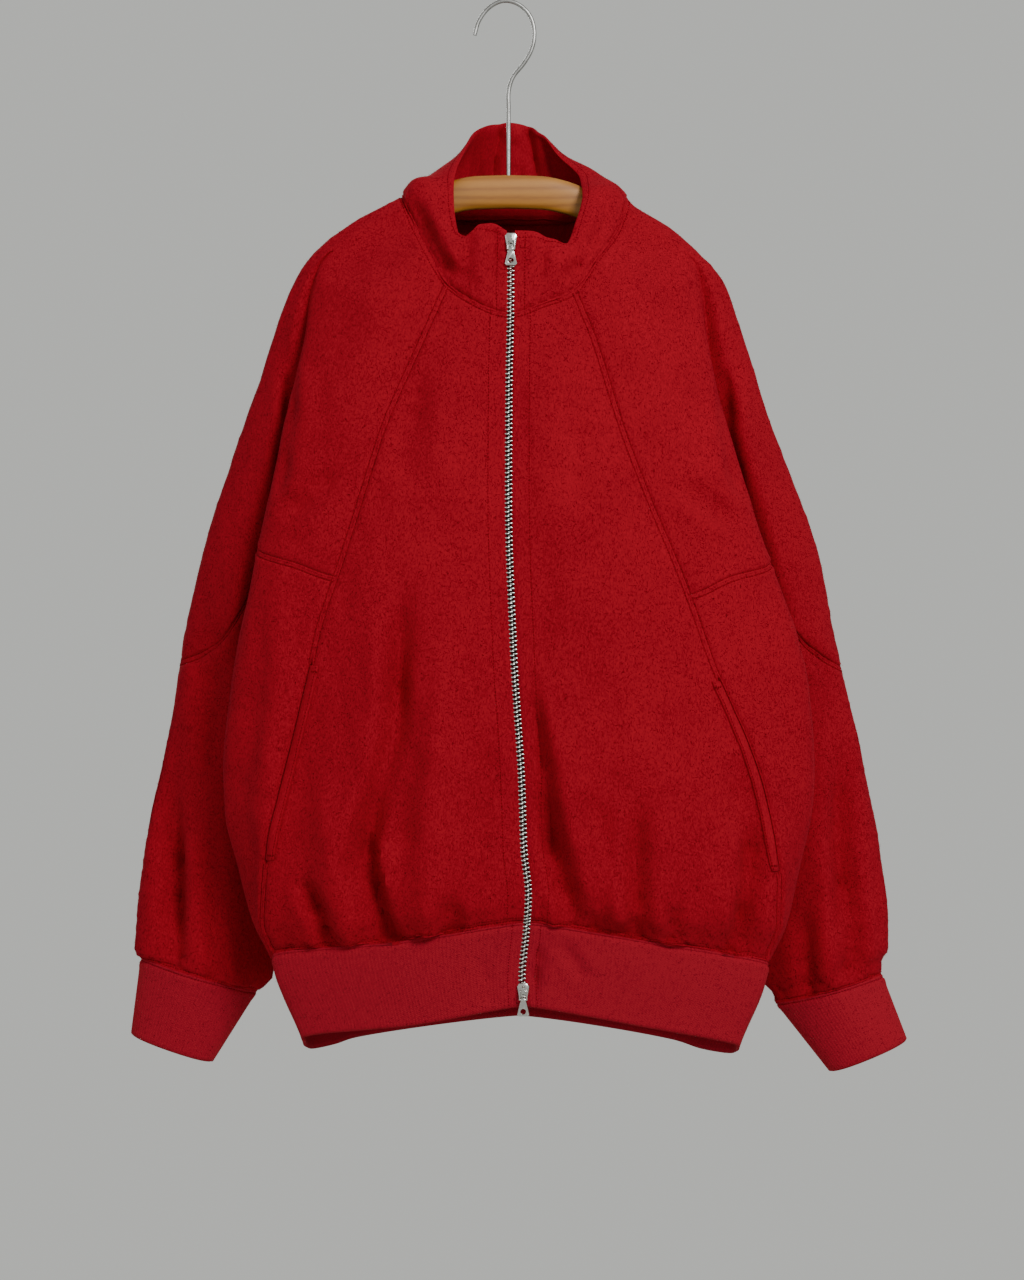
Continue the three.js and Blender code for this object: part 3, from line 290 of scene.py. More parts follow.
@dataclass
class Curve:
    """Smooth curve through points, with one guide point before and one after.

    Span 0 runs from the second point to the third.
    """

    points: Array

    def at(self, stations: Array) -> Array:
        """Points at the given stations, in whole spans from the first real point."""
        guides = self.points
        last = len(guides) - 2
        out = []
        for station in np.atleast_1d(stations):
            place = min(max(float(station) + 1, 0.0), last + 1.0)
            k = min(int(place), last)
            t = place - k
            p0 = guides[k - 1] if k > 0 else 2 * guides[0] - guides[1]
            p3 = guides[k + 2] if k + 2 < len(guides) else 2 * guides[-1] - guides[-2]
            out.append(self._span(p0, guides[k], guides[k + 1], p3, t))
        return np.array(out)

    @staticmethod
    def _span(p0: Array, p1: Array, p2: Array, p3: Array, t: float) -> Array:
        """Centripetal Catmull-Rom span between p1 and p2."""
        d1 = max(float(np.linalg.norm(p2 - p1)) ** 0.5, 1e-4)
        d0 = max(float(np.linalg.norm(p1 - p0)) ** 0.5, 1e-4)
        d2 = max(float(np.linalg.norm(p3 - p2)) ** 0.5, 1e-4)
        t1 = ((p1 - p0) / d0 - (p2 - p0) / (d0 + d1) + (p2 - p1) / d1) * d1
        t2 = ((p2 - p1) / d1 - (p3 - p1) / (d1 + d2) + (p3 - p2) / d2) * d1
        return (p1 + t1 * t + (-3 * p1 + 3 * p2 - 2 * t1 - t2) * t * t
                + (2 * p1 - 2 * p2 + t1 + t2) * t ** 3)

    def spread(self, start: float, end: float, count: int, ends: tuple[bool, bool]) -> Array:
        """Points from one station to another, evenly spaced along the cloth.

        Args:
            start: First station.
            end: Last station.
            count: Number of even steps.
            ends: Whether extra close points stand at the start and at the end, for a seam there.

        Returns:
            The points, the first and last exactly at the two stations.
        """
        dense = self.at(np.linspace(start, end, 60))
        along = run_length(dense)
        found = at_lengths(along_with_seams(along[-1], count, ends), along, dense)
        found[0], found[-1] = dense[0], dense[-1]
        return found


SEAM_STEPS = np.array([0.8, 1.6, 2.3, 3.0, 4.2])


def along_with_seams(length: float, count: int, ends: tuple[bool, bool]) -> Array:
    """Distances from 0 to a length, even, with extra close ones beside a seam."""
    close = np.minimum(SEAM_STEPS, length * np.array([0.03, 0.06, 0.09, 0.12, 0.17]))
    first = close if ends[0] else np.array([])
    last = length - close[::-1] if ends[1] else np.array([])
    low = first[-1] if ends[0] else 0.0
    high = last[0] if ends[1] else length
    middle = np.linspace(low, high, count + 1)
    head = np.concatenate([[0.0], first[:-1]]) if ends[0] else np.array([])
    tail = np.concatenate([last[1:], [length]]) if ends[1] else np.array([])
    return np.concatenate([head, middle, tail])


@dataclass
class JacketForm:
    """The garment's surface as patches of rows and columns of points, in millimetres.

    Rows run down; columns run from the zip round the side to the back.
    """

    patches: dict[str, Array] = field(default_factory=dict)

    def __post_init__(self) -> None:
        """Lay out every patch."""
        yoke_share = along_with_seams(260.0, 62, (True, True)) / 260.0
        yoke = YOKE_ROWS * yoke_share ** (1 / CROWDING)
        self.yoke_count = len(yoke)
        body = YOKE_ROWS + along_with_seams(345.0, 72, (True, True)) / 345.0 * BODY_ROWS
        self.rows = np.concatenate([yoke, body[1:]])
        self.sleeve_rows = along_with_seams(330.0, 68, (True, True)) / 330.0
        halves = [self._add_side(side) for side in Side]
        self.patches["back"] = np.concatenate([halves[0], halves[1][:, ::-1][:, 1:]], axis=1)
        self._add_collar()
        self._add_rib()
        for side in Side:
            self._add_cuff(side)

    def _body_curves(self, side: Side, i: float) -> tuple[Curve, Curve, Array, Array]:
        """Curves of one body row.

        Args:
            side: Which half.
            i: Row, whole or part.

        Returns:
            The front curve, the back curve, and the points where they meet the sleeve.
        """
        stops = HEIGHTS["raglan"][side.place]
        share = (height_on("raglan", side, i) - stops[0]) / (stops[2] - stops[0])
        zip_point = on_line(ZIP, side, mix(*ZIP_HEIGHTS, share))
        zip_point[0] += side.sign * ZIP_EDGE
        quarter_stops = HEIGHTS["quarter"][side.place]
        quarter = on_line(QUARTER, side, mix(quarter_stops[0], quarter_stops[2], share))
        raglan = on_line(RAGLAN, side, height_on("raglan", side, i))
        fold = on_line(FOLD, side, height_on("fold", side, i))
        middle = (raglan + fold) / 2
        middle[1] -= 0.09 * float(np.linalg.norm(raglan - fold))
        middle[2] = height_on("middle", side, i)
        down = i > YOKE_ROWS
        if down:
            low, high = HEIGHTS["side"][side.place]
            turn = on_line(SIDE_LINE, side, mix(low, high, (i - YOKE_ROWS) / BODY_ROWS))
            valley = turn
        else:
            turn = on_line(VALLEY, side, height_on("valley", side, i))
            valley = on_line(BACK_VALLEY, side, height_on("back_valley", side, i))
        back_raglan = on_line(BACK_RAGLAN, side, height_on("back_raglan", side, i))
        centre = on_line(BACK_CENTRE, side, height_on("back_centre", side, i))
        back_middle = (valley + back_raglan) / 2
        back_middle[2] = height_on("back_middle", side, i)
        back_middle[1] += 3 - 4 * float(smooth((i - YOKE_ROWS + 2) / 2))
        opened = float(smooth((i - YOKE_ROWS) / 3))
        front_guide = mix(beyond(turn, fold), back_middle, opened)
        back_guide = mix(beyond(valley, back_middle), fold, opened)
        mirror = zip_point + np.array([-side.sign * 12.0, 0, 0])
        behind = centre + np.array([-side.sign * 60.0, -4, 0])
        front = Curve(np.array([mirror, zip_point, quarter, raglan, middle, fold, turn, front_guide]))
        back = Curve(np.array([back_guide, valley, back_middle, back_raglan, centre, behind]))
        return front, back, turn, valley

    def _arm_above(self, side: Side, i: float, turn: Array, valley: Array) -> Curve:
        """Ring of the upper sleeve on a body row, from the front valley round to the back one."""
        outline = on_line(OUTLINE, side, height_on("outline", side, i))
        front_z = height_on("front_arm", side, i)
        front = np.array([(turn[0] + outline[0]) / 2, sample(ARM_FRONT, 1, front_z), front_z])
        back_fold = on_line(BACK_FOLD, side, height_on("back_fold", side, i))
        back_z = height_on("back_arm", side, i)
        back = np.array([(outline[0] + back_fold[0]) / 2, sample(ARM_BACK, 1, back_z), back_z])
        return Curve(np.array([
            beyond(turn, front), turn, front, outline, back, back_fold, valley, beyond(valley, back_fold),
        ]))

    def _arm_below(self, side: Side, t: float) -> Curve:
        """Ring of the lower sleeve at share t of its length, from the inner seam round to itself."""
        inner = on_line(INNER_ARM, side, lower_height("inner_arm", side, t))
        outline_z = lower_height("outline", side, t)
        outline = on_line(OUTLINE, side, outline_z)
        middle_x = (inner[0] + outline[0]) / 2
        front_z = lower_height("front_arm", side, t)
        back_z = lower_height("back_arm", side, t)
        front = np.array([middle_x, sample(ARM_FRONT, 1, front_z), front_z])
        back = np.array([middle_x, sample(ARM_BACK, 1, back_z), back_z])
        quarter = np.array([
            mix(middle_x, inner[0], 0.72), mix(inner[1], back[1], 0.66), (back_z + inner[2]) / 2,
        ])
        opened = float(smooth(t * SLEEVE_ROWS / 3))
        before = mix(beyond(inner, front), quarter, opened)
        after = mix(beyond(inner, quarter), front, opened)
        return Curve(np.array([before, inner, front, outline, back, quarter, inner, after]))

    def _add_side(self, side: Side) -> Array:
        """Lay out one half and return its half of the back."""
        fronts, upper_fronts, upper_backs, panels, backs = [], [], [], [], []
        top: Curve | None = None
        for i in self.rows:
            front, back, turn, valley = self._body_curves(side, float(i))
            fronts.append(front.spread(0, 2, 44, (False, True)))
            over_chest = front.spread(2, 5, 24, (True, False))
            over_back = back.spread(0, 2, 22, (False, True))
            backs.append(back.spread(2, 3, 34, (True, False)))
            if i <= YOKE_ROWS:
                arm = self._arm_above(side, float(i), turn, valley)
                upper_fronts.append(np.concatenate([over_chest, arm.spread(0, 2, 24, (True, True))[1:]]))
                upper_backs.append(np.concatenate([arm.spread(2, 5, 30, (True, True)), over_back[1:]]))
                top = arm
            if i >= YOKE_ROWS:
                panels.append(np.concatenate([over_chest, over_back[1:]]))
        name = side.value
        self.patches[f"front_{name}"] = np.array(fronts)
        self.patches[f"sleeve_upper_front_{name}"] = np.array(upper_fronts)
        self.patches[f"sleeve_upper_back_{name}"] = np.array(upper_backs)
        self.patches[f"side_panel_{name}"] = np.array(panels)
        for part, start, end, count in (("front", 0, 2, 24), ("back", 2, 5, 30)):
            first = top.spread(start, end, count, (True, True))
            base = self._arm_below(side, 0.0).spread(start, end, count, (True, True))
            rows = []
            for t in self.sleeve_rows:
                row = self._arm_below(side, float(t)).spread(start, end, count, (True, True))
                rows.append(row + (first - base) * float(1 - smooth(t * SLEEVE_ROWS / 1.2)))
            rows[0] = first
            self.patches[f"sleeve_lower_{part}_{name}"] = np.array(rows)
        return np.array(backs)

    def _ring(self, row: int, names: tuple[str, ...]) -> Array:
        """Points round the neck or hem, from the left front edge round the back to the right one."""
        left = [self.patches[f"{name}_left"][row][1 if k else 0:] for k, name in enumerate(names)]
        right = [self.patches[f"{name}_right"][row][1 if k else 0:] for k, name in enumerate(names)]
        return np.concatenate([*left, self.patches["back"][row][1:], np.concatenate(right)[::-1][1:]])

    @staticmethod
    def _shares(ring: Array) -> Array:
        """Share of the way round a ring at each of its points."""
        along = run_length(ring)
        return along / along[-1]

    def _add_collar(self) -> None:
        """Stand the collar on the neck line, rolled a little outward between its edges."""
        neck = self._ring(0, ("front", "sleeve_upper_front", "sleeve_upper_back"))
        share = self._shares(neck)
        top = np.stack([sample(COLLAR_TOP, column, share) for column in (1, 2, 3)], axis=1)
        around = 2 * np.pi * share
        sideways = np.sin(around) ** 2
        plain = np.where(np.cos(around) > 0, 3.0, 7.0)
        roll = mix(plain, 15.0, sideways) * smooth(np.minimum(share, 1 - share) / 0.08)
        away = np.stack([-np.sin(around) * 0.5, -np.cos(around) * (1 - sideways), sideways], axis=1)
        away = unit(away)
        rise = sum(
            height * np.exp(-(((share - centre) / spread) ** 2)) for centre, spread, height in COLLAR_RISES
        )
        rows = []
        for down in along_with_seams(COLLAR_HEIGHT, 22, (False, True)) / COLLAR_HEIGHT:
            up = 1 - down
            row = mix(neck, top, up) + away * (roll * np.sin(np.pi * up))[:, None]
            row[:, 2] += rise * np.sin(np.pi * up)
            rows.append(row)
        rows[-1] = neck
        self.patches["collar"] = np.array(rows)

    def _add_rib(self) -> None:
        """Draw the rib in below the hem line, its front edges kept beside the zip."""
        hem = self._ring(-1, ("front", "side_panel"))
        share = self._shares(hem)
        near = 1 - smooth(np.minimum(share, 1 - share) / 0.09)
        left = share < 0.5
        rows = []
        for down in along_with_seams(RIB_HEIGHT, 24, (True, False)) / RIB_HEIGHT:
            taper = float(smooth(down * 0.8) / smooth(0.8))
            row = np.stack([
                mix(16.0, hem[:, 0], mix(1, 0.885, taper)), mix(-4.0, hem[:, 1], mix(1, 0.86, taper)),
                hem[:, 2] - RIB_HEIGHT * down,
            ], axis=1)
            shifts = []
            for side, end in ((Side.LEFT, row[0]), (Side.RIGHT, row[-1])):
                target = on_line(ZIP, side, float(end[2]))
                target[0] += side.sign * ZIP_EDGE
                shifts.append(target - end)
            shift = np.where(left[:, None], shifts[0][None, :], shifts[1][None, :])
            rows.append(row + shift * near[:, None])
        rows[0] = hem
        self.patches["hem_rib"] = np.array(rows)

    def _add_cuff(self, side: Side) -> None:
        """Draw the cuff in from the sleeve's end to its flat mouth."""
        front_row = self.patches[f"sleeve_lower_front_{side.value}"][-1]
        back_row = self.patches[f"sleeve_lower_back_{side.value}"][-1]
        ring = np.concatenate([front_row, back_row[1:]])
        outer, inner = CUFF_END[side]
        start, end = front_row[0], back_row[0]
        across = (ring[:, 0] - start[0]) / (end[0] - start[0])
        level = np.sqrt(np.maximum(1 - (2 * np.clip(across, 0, 1) - 1) ** 2, 0))
        face = np.where(np.arange(len(ring)) < len(front_row), -1.0, 1.0)
        mouth = np.stack([
            mix(inner[0], outer[0], across), CUFF_DEPTH[0] + face * CUFF_DEPTH[1] * level,
            mix(inner[1], outer[1], across),
        ], axis=1)
        shares = along_with_seams(CUFF_HEIGHT, 20, (True, False)) / CUFF_HEIGHT
        rows = [mix(ring, mouth, down) for down in shares]
        self.patches[f"cuff_{side.value}"] = np.array(rows)


# Seam edges of each patch: top, bottom, first column and last column
SEAM_EDGES: dict[str, tuple[bool, bool, bool, bool]] = {
    "front": (True, True, False, True),
    "sleeve_upper_front": (True, True, True, True),
    "sleeve_upper_back": (True, True, True, True),
    "side_panel": (True, True, True, True),
    "sleeve_lower_front": (True, True, True, True),
    "sleeve_lower_back": (True, True, True, True),
    "back": (True, True, True, True),
    "collar": (False, True, False, False),
    "hem_rib": (True, False, False, False),
    "cuff": (True, False, False, False),
}


def panel_kind(name: str) -> str:
    """Name of a panel without its side."""
    return name.removesuffix("_left").removesuffix("_right")


def lengths_along(points: Array, axis: int) -> Array:
    """Length from the start of each row or column to every point of a patch."""
    steps = np.linalg.norm(np.diff(points, axis=axis), axis=2)
    zeros = np.zeros_like(np.take(steps, [0], axis=axis))
    return np.concatenate([zeros, np.cumsum(steps, axis=axis)], axis=axis)


@dataclass
class Crease:
    """A soft trough or ridge laid along a given line of the front or the back."""

    line: list[tuple[float, float]]
    half: float
    depth: float
    rim: float = 0.35

    def at(self, x: Array, z: Array) -> Array:
        """Displacement in millimetres at points of the face; minus is a trough."""
        path = np.array(self.line, float)
        best = np.full(x.shape, 1e9)
        share = np.zeros(x.shape)
        total = run_length(path)
        for k in range(len(path) - 1):
            ax, az = path[k]
            dx, dz = path[k + 1] - path[k]
            t = np.clip(((x - ax) * dx + (z - az) * dz) / (dx * dx + dz * dz), 0, 1)
            gap = np.hypot(x - ax - dx * t, z - az - dz * t)
            nearer = gap < best
            best = np.where(nearer, gap, best)
            share = np.where(nearer, (total[k] + t * (total[k + 1] - total[k])) / total[-1], share)
        ends = smooth(share / 0.28) * smooth((1 - share) / 0.22)
        uneven = 1 + 0.22 * np.sin(share * 17 + self.half) + 0.12 * np.sin(share * 41 + self.depth)
        away = best / self.half
        valley = np.exp(-away * away) - self.rim * np.exp(-((away - 1.9) / 0.9) ** 2)
        return self.depth * valley * ends * uneven


# The large forms, as top, middle and bottom points, half width and depth
FRONT_FORMS = [
    ((-84, -500), (-88, -640), (-92, -745), 22, -5), ((-92, -700), (-119, -762), (-96, -846), 16, -9),
    ((-60, -600), (-64, -720), (-70, -835), 20, 6), ((-150, -690), (-152, -780), (-142, -842), 20, 6),
    ((-163, -790), (-153, -820), (-147, -848), 14, -6), ((46, -580), (60, -700), (100, -815), 18, 8),
    ((75, -690), (88, -790), (82, -836), 15, -6), ((113, -700), (114, -790), (112, -836), 15, -4),
    ((140, -640), (140, -760), (146, -842), 18, 5), ((226, -742), (218, -800), (200, -852), 14, -6),
    ((-308, -690), (-303, -770), (-300, -862), 13, -9), ((-262, -720), (-265, -800), (-262, -876), 12, -5),
    ((298, -700), (304, -790), (315, -874), 13, -9), ((272, -820), (271, -850), (276, -888), 11, -6),
]
BACK_FORMS = [
    ((-96, -560), (-100, -700), (-92, -850), 24, -6), ((-40, -640), (-46, -750), (-40, -842), 20, -5),
    ((52, -600), (50, -740), (60, -842), 22, -6), ((118, -560), (120, -720), (116, -852), 22, -6),
    ((4, -260), (8, -420), (10, -600), 30, -5), ((-290, -700), (-292, -790), (-292, -866), 14, -8),
    ((300, -700), (306, -790), (312, -880), 14, -8),
]

# Finer creases of the front and of the back
FRONT_CREASES = [
    Crease([
        (-96, -503), (-93, -560), (-96, -655), (-122, -742), (-128, -768), (-117, -818), (-104, -852),
    ], 9, -5.0),
    Crease([(-176, -780), (-162, -815), (-150, -848)], 7, -4.5),
    Crease([(-49, -792), (-46, -828), (-43, -842)], 8, -3.0),
    Crease([
        (12, -585), (20, -640), (27, -681), (37, -734), (47, -776), (60, -812), (72, -838),
    ], 10, -6.5, 0.6),
    Crease([(-121, -740), (-113, -786), (-106, -815), (-97, -844)], 6, -4.0, 0.5),
    Crease([(116, -700), (114, -780), (115, -842)], 8, -2.2),
    Crease([(150, -802), (148, -824), (146, -842)], 7, -3.0),
    Crease([(220, -726), (214, -790), (206, -846)], 8, -3.0),
    Crease([(-304, -738), (-302, -790), (-301, -848)], 9, -4.5),
    Crease([(-267, -578), (-266, -630), (-263, -700)], 11, -2.2),
    Crease([(302, -664), (309, -740), (318, -836)], 8, -4.0),
    Crease([(320, -806), (321, -842), (322, -872)], 6, -3.5),
    Crease([(-70, -330), (-84, -392), (-80, -450)], 13, -1.8),
    Crease([(60, -340), (66, -410), (60, -470)], 14, -1.8),
    Crease([(-140, -420), (-176, -452), (-198, -470)], 9, -2.4),
    Crease([(150, -430), (188, -458), (212, -476)], 9, -2.6),
    Crease([(-196, -300), (-190, -380), (-202, -462)], 8, -2.4),
    Crease([(202, -300), (198, -390), (212, -466)], 8, -2.4),
    Crease([(-250, -560), (-276, -584), (-290, -600)], 8, -1.8),
    Crease([(262, -570), (284, -590), (300, -604)], 8, -1.8),
    Crease([(-14, -640), (-20, -720), (-24, -800)], 10, -1.6),
    Crease([(-54, -560), (-60, -620), (-56, -700)], 12, 1.6),
    Crease([(60, -600), (70, -660), (78, -730)], 13, 1.8),
    Crease([(-190, -600), (-206, -690), (-214, -770)], 12, 2.0),
    Crease([(196, -620), (206, -700), (222, -780)], 12, -2.0),
]
BACK_CREASES = [
    Crease([(-60, -520), (-70, -640), (-62, -760), (-74, -850)], 10, -4.0),
    Crease([(30, -610), (24, -700), (34, -790), (28, -846)], 9, -3.6),
    Crease([(88, -560), (98, -680), (90, -800), (96, -850)], 10, -4.0),
    Crease([(-130, -640), (-124, -740), (-132, -850)], 9, -3.2),
    Crease([(150, -660), (144, -760), (150, -856)], 9, -3.0),
    Crease([(-40, -230), (-60, -300), (-66, -380)], 13, -2.0),
    Crease([(52, -230), (70, -300), (74, -380)], 13, -2.0),
    Crease([(-286, -640), (-290, -740), (-298, -850)], 9, -4.0),
    Crease([(290, -640), (300, -740), (314, -860)], 9, -4.0),
    Crease([(-210, -380), (-226, -440), (-232, -520)], 11, -2.4),
    Crease([(222, -380), (238, -440), (244, -520)], 11, -2.4),
]
COLLAR_FRONT_CREASES = [
    Crease([(-13, -206), (-9, -226), (-12, -262)], 5, -2.6),
    Crease([(-31, -214), (-33, -232), (-36, -262)], 6, -2.2),
    Crease([(37, -212), (36, -232), (30, -262)], 5, -2.6),
    Crease([(-84, -178), (-72, -206), (-58, -236), (-40, -262)], 7, -5.0, 0.5),
    Crease([(96, -182), (88, -206), (72, -238), (52, -264)], 7, -3.4, 0.5),
]
COLLAR_BACK_CREASES = [
    Crease([(-1, -92), (-8, -128), (-11, -168)], 4.5, 5.0),
    Crease([(20, -92), (27, -130), (34, -168)], 5, 5.5),
    Crease([(10, -92), (9, -130), (8, -165)], 5, -3.0),
]
RIB_CREASES = [
    Crease([(34, -836), (29, -864), (24, -892)], 4.5, -4.5, 0.6),
    Crease([(50, -836), (61, -854), (72, -872)], 6, -2.5),
    Crease([(-20, -848), (-14, -872), (-12, -896)], 6, -1.6),
]


# How strongly the forms and creases are laid, and the flat strip beside the zip with its ease
FRONT_FORM_GAIN = 1.15
FRONT_CREASE_GAIN = 1.9
BACK_CREASE_GAIN = 1.6
ZIP_FLAT = 9.5
ZIP_EASE = 14


def total_of(creases: list[Crease], x: Array, z: Array) -> Array:
    """Displacement of several creases together."""
    return sum(crease.at(x, z) for crease in creases)


@dataclass
class Ripples:
    """Gentle unevenness of soft cloth, as a sum of waves with seeded directions."""

    seed: int
    wavelength: float
    height: float
    count: int = 9
    stretch: float = 0.45

    def at(self, points: Array) -> Array:
        """Displacement in millimetres at points."""
        rng = np.random.default_rng(self.seed)
        total = np.zeros(points.shape[:-1])
        for _ in range(self.count):
            angle = rng.uniform(0, 2 * np.pi)
            length = self.wavelength * rng.uniform(0.7, 1.5)
            way = np.array([math.cos(angle), 0.8 * math.sin(angle), self.stretch * rng.uniform(-1, 1)])
            total += np.sin(points @ way * (2 * np.pi / length) + rng.uniform(0, 2 * np.pi))
        return self.height * total / math.sqrt(self.count)


@dataclass
class Cloth:
    """All patches welded on their seams, folded and finished with their normals."""

    form: JacketForm
    groove: float = 1.1
    pillow: float = 0.55

    def __post_init__(self) -> None:
        """Weld, then fold, then press the seams in."""
        patches = self.form.patches
        stacked = np.concatenate([patch.reshape(-1, 3) for patch in patches.values()])
        keys = np.round(stacked * 50).astype(np.int64)
        _, first, inverse = np.unique(keys, axis=0, return_index=True, return_inverse=True)
        self.points = stacked[first].copy()
        inverse = inverse.reshape(-1)
        self.index: dict[str, Array] = {}
        start = 0
        for name, patch in patches.items():
            size = patch.shape[0] * patch.shape[1]
            self.index[name] = inverse[start:start + size].reshape(patch.shape[:2])
            start += size
        self.crotch = {
            int(self.index[f"sleeve_lower_front_{side.value}"][0, 0]) for side in Side
        }
        self.seam_distance, self.seam_along = self._seam_distances()
        self.normals = self._compute_normals()
        self._fold()
        self.normals = self._compute_normals()
        self._press_seams()
        self.normals = self._compute_normals()

    def _compute_normals(self) -> Array:
        """Unit normals of all welded points, outward."""
        normals = np.zeros_like(self.points)
        for name, index in self.index.items():
            a, b = index[:-1, :-1].ravel(), index[:-1, 1:].ravel()
            d, e = index[1:, :-1].ravel(), index[1:, 1:].ravel()
            turn = -1.0 if name.endswith("_right") else 1.0
            p = self.points
            face = np.cross(p[e] - p[a], p[d] - p[b]) * turn
            for corner in (a, b, d, e):
                np.add.at(normals, corner, face)
        length = np.linalg.norm(normals, axis=1)
        normals /= np.where(length < 1e-9, 1, length)[:, None]
        for k in self.crotch:
            normals[k] = (0, 0, -1)
        return normals

    def _seam_distances(self) -> tuple[Array, Array]:
        """Distance of each point from its nearest seam, and how far along that seam it lies."""
        distance = np.full(len(self.points), 1e9)
        place = np.zeros(len(self.points))
        for name, index in self.index.items():
            top, bottom, first, last = SEAM_EDGES[panel_kind(name)]
            points = self.points[index]
            across, down = lengths_along(points, 1), lengths_along(points, 0)
            choices = []
            if top:
                choices.append((down, across))
            if bottom:
                choices.append((down[-1:] - down, across))
            if first:
                choices.append((across, down))
            if last:
                choices.append((across[:, -1:] - across, down))
            for gap, along in choices:
                flat, k = gap.ravel(), index.ravel()
                nearer = flat < distance[k]
                distance[k[nearer]] = flat[nearer]
                place[k[nearer]] = along.ravel()[nearer]
        return distance, place

    def _forms(self, forms: list[tuple], x: Array, z: Array) -> Array:
        """Sum of the large forms of one face."""
        total = np.zeros(x.shape)
        for top, middle, bottom, half, depth in forms:
            path = [(bottom[1], bottom[0]), (middle[1], middle[0]), (top[1], top[0])]
            away = (x - sample(path, 1, z)) / half
            length = top[1] - bottom[1]
            upper = smooth((top[1] + half - z) / (length * 0.5))
            ends = upper * smooth((z - bottom[1] + half) / (half * 1.2))
            total += depth * ends * np.exp(-1.6 * away * away)
        return total

    def _marked(self, indices: list[Array]) -> Array:
        """Whether each welded point belongs to one of the given patches."""
        mark = np.zeros(len(self.points), bool)
        for index in indices:
            mark[index.ravel()] = True
        return mark

    def _fold(self) -> None:
        """Displace the fleece panels by their forms, creases and ripples."""
        banded = self._marked([index for name, index in self.index.items() if panel_kind(name) in BANDS])
        x, z = self.points[:, 0], self.points[:, 2]
        facing = np.minimum(np.abs(self.normals[:, 1]) * 1.4, 1)
        zip_gap = np.abs(x - sample(ZIP, 1, z))
        near_zip = smooth((zip_gap - ZIP_FLAT) / ZIP_EASE)
        at_front = self.normals[:, 1] < 0
        front = FRONT_FORM_GAIN * self._forms(FRONT_FORMS, x, z)
        front += FRONT_CREASE_GAIN * total_of(FRONT_CREASES, x, z)
        back = self._forms(BACK_FORMS, x, z) + BACK_CREASE_GAIN * total_of(BACK_CREASES, x, z)
        depth = np.where(at_front, front * near_zip, back) * facing
        hung = smooth((-420 - z) / 180)
        soft = Ripples(3, 62, 0.9).at(self.points) + Ripples(5, 26, 0.35).at(self.points)
        soft += Ripples(9, 34, 0.9, stretch=0.12).at(self.points) * hung
        depth = np.where(banded, 0.0, depth + soft * np.where(at_front, near_zip, 1))
        soft_collar = Ripples(11, 48, 0.8).at(self.points) * smooth((np.abs(x - 6) - 6) / 20)
        ahead = total_of(COLLAR_FRONT_CREASES, x, z) * at_front
        behind = total_of(COLLAR_BACK_CREASES, x, z)
        soft_collar += np.where(self.points[:, 1] < 0, ahead, behind)
        depth = np.where(self._marked([self.index["collar"][:-1]]), soft_collar, depth)
        soft_rib = total_of(RIB_CREASES, x, z) * smooth((zip_gap - 4.5) / 8)
        depth = np.where(self._marked([self.index["hem_rib"][1:-1]]) & at_front, soft_rib, depth)
        self.points += self.normals * depth[:, None]

    def _press_seams(self) -> None:
        """Press a groove at every seam, with a soft rise and small gathers beside it."""
        gap, along = self.seam_distance, self.seam_along
        groove = -0.45 * self.groove * np.exp(-((gap / 0.9) ** 2))
        groove -= self.groove * np.exp(-(((gap - 2.5) / 0.75) ** 2))
        rise = self.pillow * np.exp(-(((gap - 6.0) / 3.0) ** 2))
        groove -= 3.2 * np.exp(-((gap / 1.1) ** 2)) * self._pocket_mouths()
        wave = np.sin(along * 0.62) + 0.7 * np.sin(along * 0.41 + 1.3) + 0.6 * np.sin(along * 0.93 + 2.1)
        pucker = 0.28 * wave * np.exp(-((gap - 4.0) / 5.0) ** 2) * smooth(gap / 2.0)
        z = self.points[:, 2]
        gather = np.zeros(len(z))
        for name, index in self.index.items():
            if panel_kind(name) in ("front", "side_panel", "back", "sleeve_lower_front", "sleeve_lower_back"):
                down = lengths_along(self.points[index], 0)
                low = down[-1:] - down
                wide = lengths_along(self.points[index], 1)
                fan = np.sin(wide * 0.42) + 0.8 * np.sin(wide * 0.29 + 0.7) + 0.5 * np.sin(wide * 0.67 + 2)
                gather[index.ravel()] = (0.75 * fan * np.exp(-(low / 26.0) ** 2) * smooth(low / 5.0)).ravel()
        self.points += self.normals * (groove + rise + pucker + gather)[:, None]

    def _pocket_mouths(self) -> Array:
        """1 along the two pocket mouths and 0 everywhere else."""
        mouth = np.zeros(len(self.points))
        height = self.form.rows - YOKE_ROWS
        open_rows = smooth((height - 2.6) / 0.1) * smooth((9.05 - height) / 0.1)
        for side in Side:
            front = self.index[f"front_{side.value}"]
            mouth[front[:, -8:]] = open_rows[:, None]
            panel = self.index[f"side_panel_{side.value}"]
            mouth[panel[:, :8]] = open_rows[-len(panel):, None]
        return mouth

    def patch(self, name: str) -> tuple[Array, Array]:
        """Points and normals of a panel, in rows and columns."""
        index = self.index[name]
        return self.points[index], self.normals[index]


def srgb(code: str) -> tuple[float, float, float, float]:
    """Linear colour from an sRGB hex code."""
    parts = [int(code[k:k + 2], 16) / 255 for k in (1, 3, 5)]
    linear = [c / 12.92 if c <= 0.04045 else ((c + 0.055) / 1.055) ** 2.4 for c in parts]
    return (linear[0], linear[1], linear[2], 1.0)


